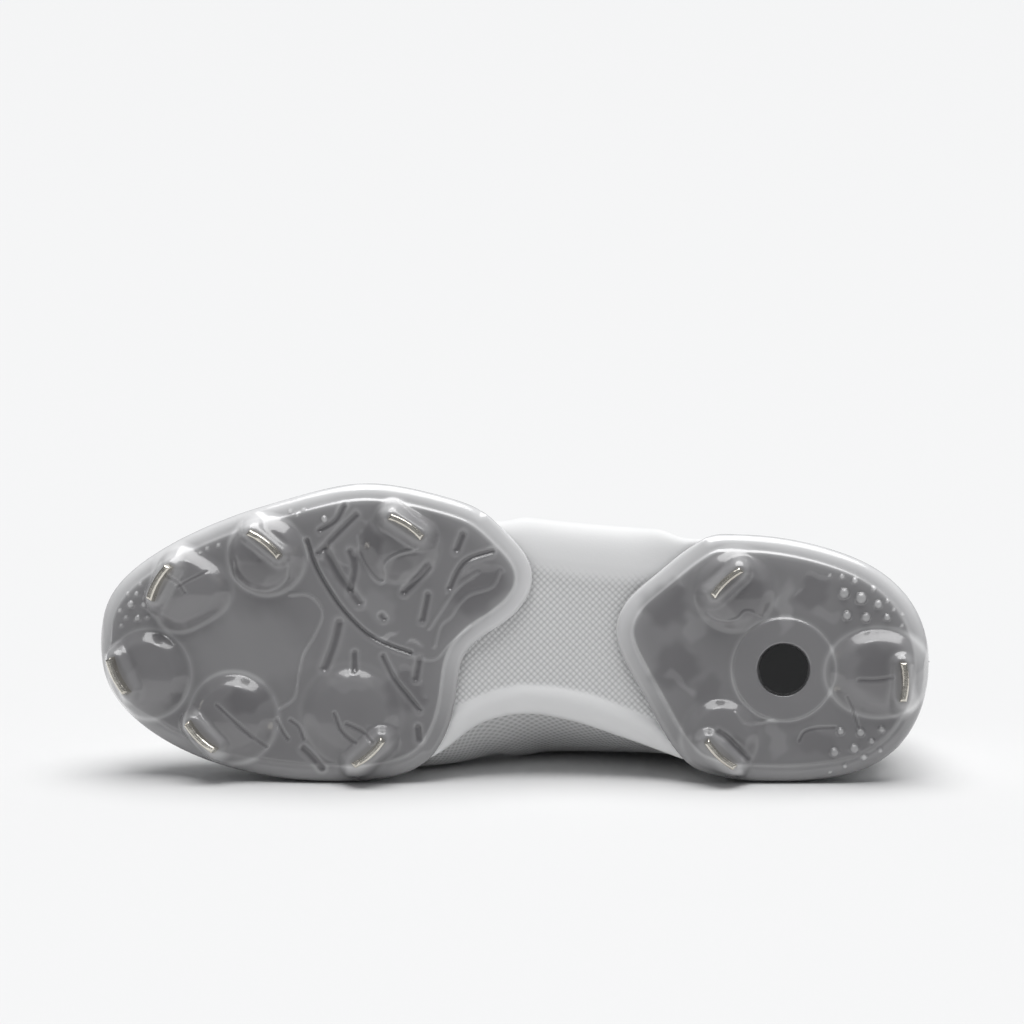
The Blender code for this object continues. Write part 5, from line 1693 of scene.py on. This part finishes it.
def forefoot_plate() -> SolePlate:
    """The forefoot's plate with six pods."""
    return SolePlate(
        node="forefoot_plate",
        ends=(0.597, 0.532),
        edge=(
            (0.576, -0.282),
            (0.564, -0.185),
            (0.559, -0.088),
            (0.557, -0.005),
            (0.544, 0.051),
            (0.520, 0.092),
            (0.496, 0.134),
            (0.476, 0.196),
            (0.469, 0.252),
            (0.471, 0.308),
            (0.483, 0.363),
            (0.508, 0.425),
        ),
        corner=0.0056,
        swell=0.0024,
        voxel=0.00061,
        towards_toe=True,
        pods=(
            Pod((0.931, -0.057), 0.160, (0.956, -0.060), 63),
            Pod((0.881, 0.232), 0.150, (0.905, 0.256), 120, rim=0.6, hollow=0.6, lobes=0.09, lobe_deg=62),
            Pod((0.785, 0.348), 0.142, (0.783, 0.387), 39),
            Pod((0.826, -0.203), 0.162, (0.856, -0.263), 45),
            Pod((0.626, 0.385), 0.140, (0.620, 0.446), 33, tall=0.7, rim=0.35, hollow=1.1),
            Pod((0.685, -0.190), 0.180, (0.664, -0.313), 138, tall=0.75, rim=0.35, hollow=0.6),
        ),
        grooves=(
            Groove(
                (
                    (224.6, 42.7), (221.3, 33.5), (216.5, 24.9), (211.1, 17.3), (203.5, 9.7),
                    (196.0, 5.4), (187.3, 2.2),
                ),
                1.1, 0.9, -0.42,
            ),
            Groove(
                (
                    (230.5, 23.2), (224.0, 23.2), (219.7, 19.5), (219.2, 15.1), (221.9, 8.7),
                    (225.7, 2.2), (227.3, -4.3), (229.4, -14.0), (234.3, -17.8),
                ),
                0.7, 0.45, 0.16, Relief.RIDGE,
            ),
            Groove(((168.5, 44.8), (170.6, 39.4)), 1.7, 0.7),
            Groove(((158.0, 38.7), (165.8, 36.2), (169.9, 32.4), (173.1, 25.7)), 1.4, 0.7),
            Groove(
                (
                    (155.0, 31.5), (158.0, 25.9), (165.8, 23.2), (169.9, 19.5), (173.1, 15.1),
                    (176.6, 11.9), (178.7, 4.3),
                ),
                0.8, 0.4, 0.14, Relief.RIDGE,
            ),
            Groove(
                (
                    (163.0, 31.0), (170.0, 26.0), (176.0, 18.0), (180.5, 11.0),
                ),
                0.8, 0.4, 0.14, Relief.RIDGE,
            ),
            Groove(((180.9, 33.5), (184.6, 29.2), (189.5, 24.3)), 1.7, 0.6),
            Groove(((181.1, 23.2), (183.0, 14.1)), 1.5, 0.6),
            Groove(((208.9, 38.9), (207.3, 33.5), (208.9, 24.9)), 1.6, 0.5),
            Groove(((217.6, 39.4), (212.7, 30.2), (205.7, 20.5)), 2.0, 0.6, -0.20),
            Groove(((197.6, 15.6), (196.8, 14.6)), 1.4, 0.6),
            Groove(((213.0, 13.0), (214.9, 5.4), (218.1, -3.2)), 2.0, 0.7),
            Groove(((207.3, 2.2), (207.3, -4.3)), 1.4, 0.7),
            Groove(((197.1, 1.1), (192.7, -7.5), (187.9, -13.5), (184.1, -18.3)), 1.3, 0.6),
            Groove(((184.1, 0.0), (185.4, -7.0)), 1.5, 0.5),
            Groove(((184.6, -24.6), (184.1, -29.1)), 1.5, 0.6),
            Groove(((225.7, -32.4), (222.4, -35.6), (219.2, -39.4)), 1.6, 0.6),
            Groove(((235.4, -22.1), (233.5, -25.9), (231.4, -29.1)), 0.8, 0.4),
            Groove(((230.5, -22.1), (227.3, -24.8), (225.7, -29.1)), 0.8, 0.4),
            Groove(((214.3, -19.4), (211.6, -25.9), (206.8, -30.2)), 0.8, 0.4),
            Groove(((210.0, -23.2), (204.6, -25.9), (200.8, -29.7)), 0.8, 0.4),
            Groove(((255.9, -16.7), (250.0, -22.1), (244.6, -27.0), (239.2, -31.8)), 0.8, 0.4),
            Groove(((269.9, 25.9), (265.1, 28.6), (259.7, 31.3)), 0.7, 0.3, -0.12),
            Groove(((273.7, 30.2), (270.5, 28.1), (267.2, 23.8)), 0.7, 0.3, -0.12),
            Groove(
                (
                    (250.5, 34.6), (250.0, 29.2), (244.6, 24.9), (237.0, 24.3), (231.6, 28.1),
                    (230.5, 33.5),
                ),
                0.8, 0.4, 0.12, Relief.RIDGE,
            ),
            Groove(
                (
                    (206.2, 44.3), (205.2, 36.7), (199.8, 28.6), (196.5, 28.1), (196.2, 34.0),
                    (191.7, 37.6), (184.6, 39.4),
                ),
                0.7, 0.4, 0.16, Relief.RIDGE,
            ),
            Groove(((219.7, 46.4), (214.3, 49.7), (211.1, 55.1)), 1.4, 0.6),
            Groove(((220.3, 38.3), (213.3, 45.4), (206.8, 51.8)), 1.6, 0.6),
            Groove(
                (
                    (187.3, 1.1), (178.7, 0.0), (173.3, 5.4), (165.8, 11.9),
                ),
                0.7, 0.35, 0.12, Relief.RIDGE,
            ),
        ),
        patches=(
            Patch((201.9, 38.9), (4.9, 8.6), 0, -0.22, 0.5),
            Patch((191.1, 32.4), (5.9, 3.2), -25, -0.18, 0.4),
            Patch((213.3, 32.4), (3.8, 7.6), -30, -0.12, 0.2),
            Patch((162.5, 24.5), (11.0, 8.7), -35, -0.14, 0.3),
            Patch((194.9, 8.7), (4.3, 1.3), -15, 0.18),
            Patch((184.6, 5.6), (3.2, 1.3), -15, 0.18),
            Patch((245.6, -14.5), (9.0, 4.6), -25, -0.16),
            Patch((289.9, -4.3), (4.3, 7.6), 0, -0.08),
            Patch((242.4, 31.3), (7.6, 4.6), -10, -0.16),
            Patch((189.5, -11.8), (7.6, 8.6), 20, -0.14, 0.2),
            Patch((198.1, 19.5), (6.5, 6.5), 0, 0.10),
            Patch((208.0, -9.0), (9.0, 3.0), 10, 0.08),
            Patch((246.0, 3.0), (24.0, 15.0), 0, 0.10, 0.0),
        ),
        beads=(
            (288.8, 19.2, 1.4), (283.8, 19.2, 1.2), (286.3, 14.2, 1.2), (286.6, 23.2, 0.9),
            (290.2, 23.2, 0.7), (283.0, 23.9, 0.7), (285.2, 26.8, 0.7), (292.8, 17.1, 0.7),
            (290.6, 14.6, 0.7), (282.7, 14.9, 0.7), (292.4, 11.7, 0.6), (218.2, 50.2, 1.3),
            (230.5, 53.1, 0.8), (227.9, 52.0, 0.7), (225.8, 53.8, 0.7), (256.4, 40.8, 0.8),
            (260.7, 39.8, 0.7), (263.2, 38.0, 0.6),
        ),
    )


def heel_plate() -> SolePlate:
    """The heel's plate with three pods and the ring."""
    return SolePlate(
        node="heel_plate",
        ends=(0.283, 0.259),
        edge=(
            (0.306, -0.294),
            (0.324, -0.206),
            (0.339, -0.125),
            (0.357, -0.036),
            (0.370, 0.044),
            (0.373, 0.104),
            (0.367, 0.162),
            (0.352, 0.222),
            (0.324, 0.288),
            (0.303, 0.340),
            (0.283, 0.384),
        ),
        towards_toe=False,
        pods=(
            Pod((0.232, 0.232), 0.150, (0.242, 0.258), 137, tall=0.8, rim=0.2, hollow=0.3),
            Pod((0.248, -0.262), 0.140, (0.249, -0.318), 43, tall=0.8, rim=0.2, hollow=0.3),
            Pod((0.062, -0.046), 0.160, (0.036, -0.075), 90, rim=1.1, hollow=0.4, stretch=0.85),
        ),
        grooves=(
            Groove(((30.2, -13.6), (27.9, -18.6), (25.8, -25.0)), 0.6, 0.3, -0.16),
            Groove(((47.2, -29.5), (45.4, -26.4), (40.8, -25.0), (34.5, -24.7)), 0.7, 0.35, -0.2),
            Groove(((76.6, -26.0), (73.5, -28.0), (69.6, -31.9), (65.7, -35.8)), 1.4, 0.5, -0.22),
            Groove(((70.4, -19.4), (65.7, -23.3), (56.4, -21.7)), 0.7, 0.35, 0.12, Relief.RIDGE),
            Groove(
                (
                    (80.5, 16.5), (76.6, 14.1), (70.4, 14.1), (66.5, 17.2), (61.0, 14.9),
                ),
                0.7, 0.35, 0.12, Relief.RIDGE,
            ),
            Groove(((26.0, -7.3), (19.7, -7.3), (14.3, -6.5)), 0.8, 0.3, -0.16),
        ),
        patches=(
            Patch((95.3, 19.6), (8.6, 8.6), -50, -0.16, 0.2),
            Patch((85.2, 11.8), (4.7, 5.5), 0, 0.12),
            Patch((67.3, 22.7), (10.1, 7.0), 30, -0.18, 0.3),
            Patch((42.3, 23.5), (6.2, 7.0), 0, -0.12, 0.2),
            Patch((37.7, 16.1), (5.5, 2.5), 0, 0.10),
            Patch((52.5, 19.6), (3.1, 10.1), 5, 0.14),
            Patch((92.0, -3.0), (9.0, 9.0), 0, -0.14, 0.1),
            Patch((89.9, -8.5), (6.6, 1.9), 35, 0.16),
            Patch((80.0, -12.0), (5.0, 7.0), 30, -0.10),
            Patch((70.4, -31.9), (5.5, 4.7), -30, -0.12),
            Patch((42.3, -30.3), (8.6, 4.7), 0, -0.08),
            Patch((19.7, -3.8), (8.0, 10.1), 0, -0.14),
            Patch((55.6, -28.8), (3.5, 7.8), 0, 0.12),
        ),
        beads=(
            (31.3, 23.6, 2.0), (25.2, 21.8, 2.2), (19.1, 19.6, 1.6), (30.2, 15.6, 1.7),
            (23.4, 14.9, 1.8), (15.8, 14.9, 1.3), (27.4, 28.2, 1.1), (32.0, 29.7, 0.9),
            (36.4, 30.0, 0.7), (20.5, 25.4, 0.9), (15.5, 21.0, 0.7), (13.3, 17.8, 0.7),
            (10.1, 16.0, 0.6), (10.4, 12.0, 0.6), (32.4, -26.1, 1.4), (25.2, -26.5, 1.6),
            (17.6, -25.4, 1.3), (34.6, -33.7, 1.7), (27.4, -32.3, 1.8), (21.2, -29.7, 1.1),
            (23.8, -35.5, 1.1), (18.0, -33.0, 0.9), (30.6, -38.7, 0.8), (36.0, -40.9, 0.6),
        ),
        ring=(0.174, -0.036),
    )


def dress_nodes(nodes: dict[str, Object], finishes: Finishes) -> None:
    """Gives the frame's own pieces that stay their finishes and softened edges."""
    for name, node in nodes.items():
        if name.startswith("stud_"):
            material = finishes.steel
        elif name == "heel_badge":
            material = finishes.badge
        else:
            continue
        node.data.materials.clear()
        node.data.materials.append(material)
        weld = node.modifiers.new("weld", "WELD")
        weld.merge_threshold = NODE_WELD_WIDTH
        bevel = node.modifiers.new("bevel", "BEVEL")
        bevel.width = NODE_BEVEL
        bevel.segments = 2
        bevel.limit_method = "ANGLE"
        bevel.angle_limit = math.radians(35)
        LOG.info("%s: finished", name)


def main() -> None:
    """Builds the whole cleat and its studio."""
    logging.basicConfig(level=logging.INFO, format="%(message)s")
    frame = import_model()
    nodes = frame["nodes"]
    finishes = Finishes()
    forefoot_plate().build(finishes.plate)
    heel_plate().build(finishes.plate)
    dress_nodes(nodes, finishes)
    Midsole().build(finishes.foam)
    Insole().build(finishes.sock)
    Tongue().build(nodes["tongue"], finishes.tongue)
    upper = Upper()
    pins = upper.punches()
    upper.build_shell(pins, finishes.mesh, finishes.lining)
    upper.build_eyestay(pins, finishes.film)
    for pin in pins:
        bpy.data.objects.remove(pin, do_unlink=True)
    upper.build_overlays(finishes.film)
    upper.build_rings(finishes.thread)
    upper.build_stitches(finishes.thread)
    upper.build_laces(finishes.lace)
    Studio().build()


if __name__ == "__main__":
    main()
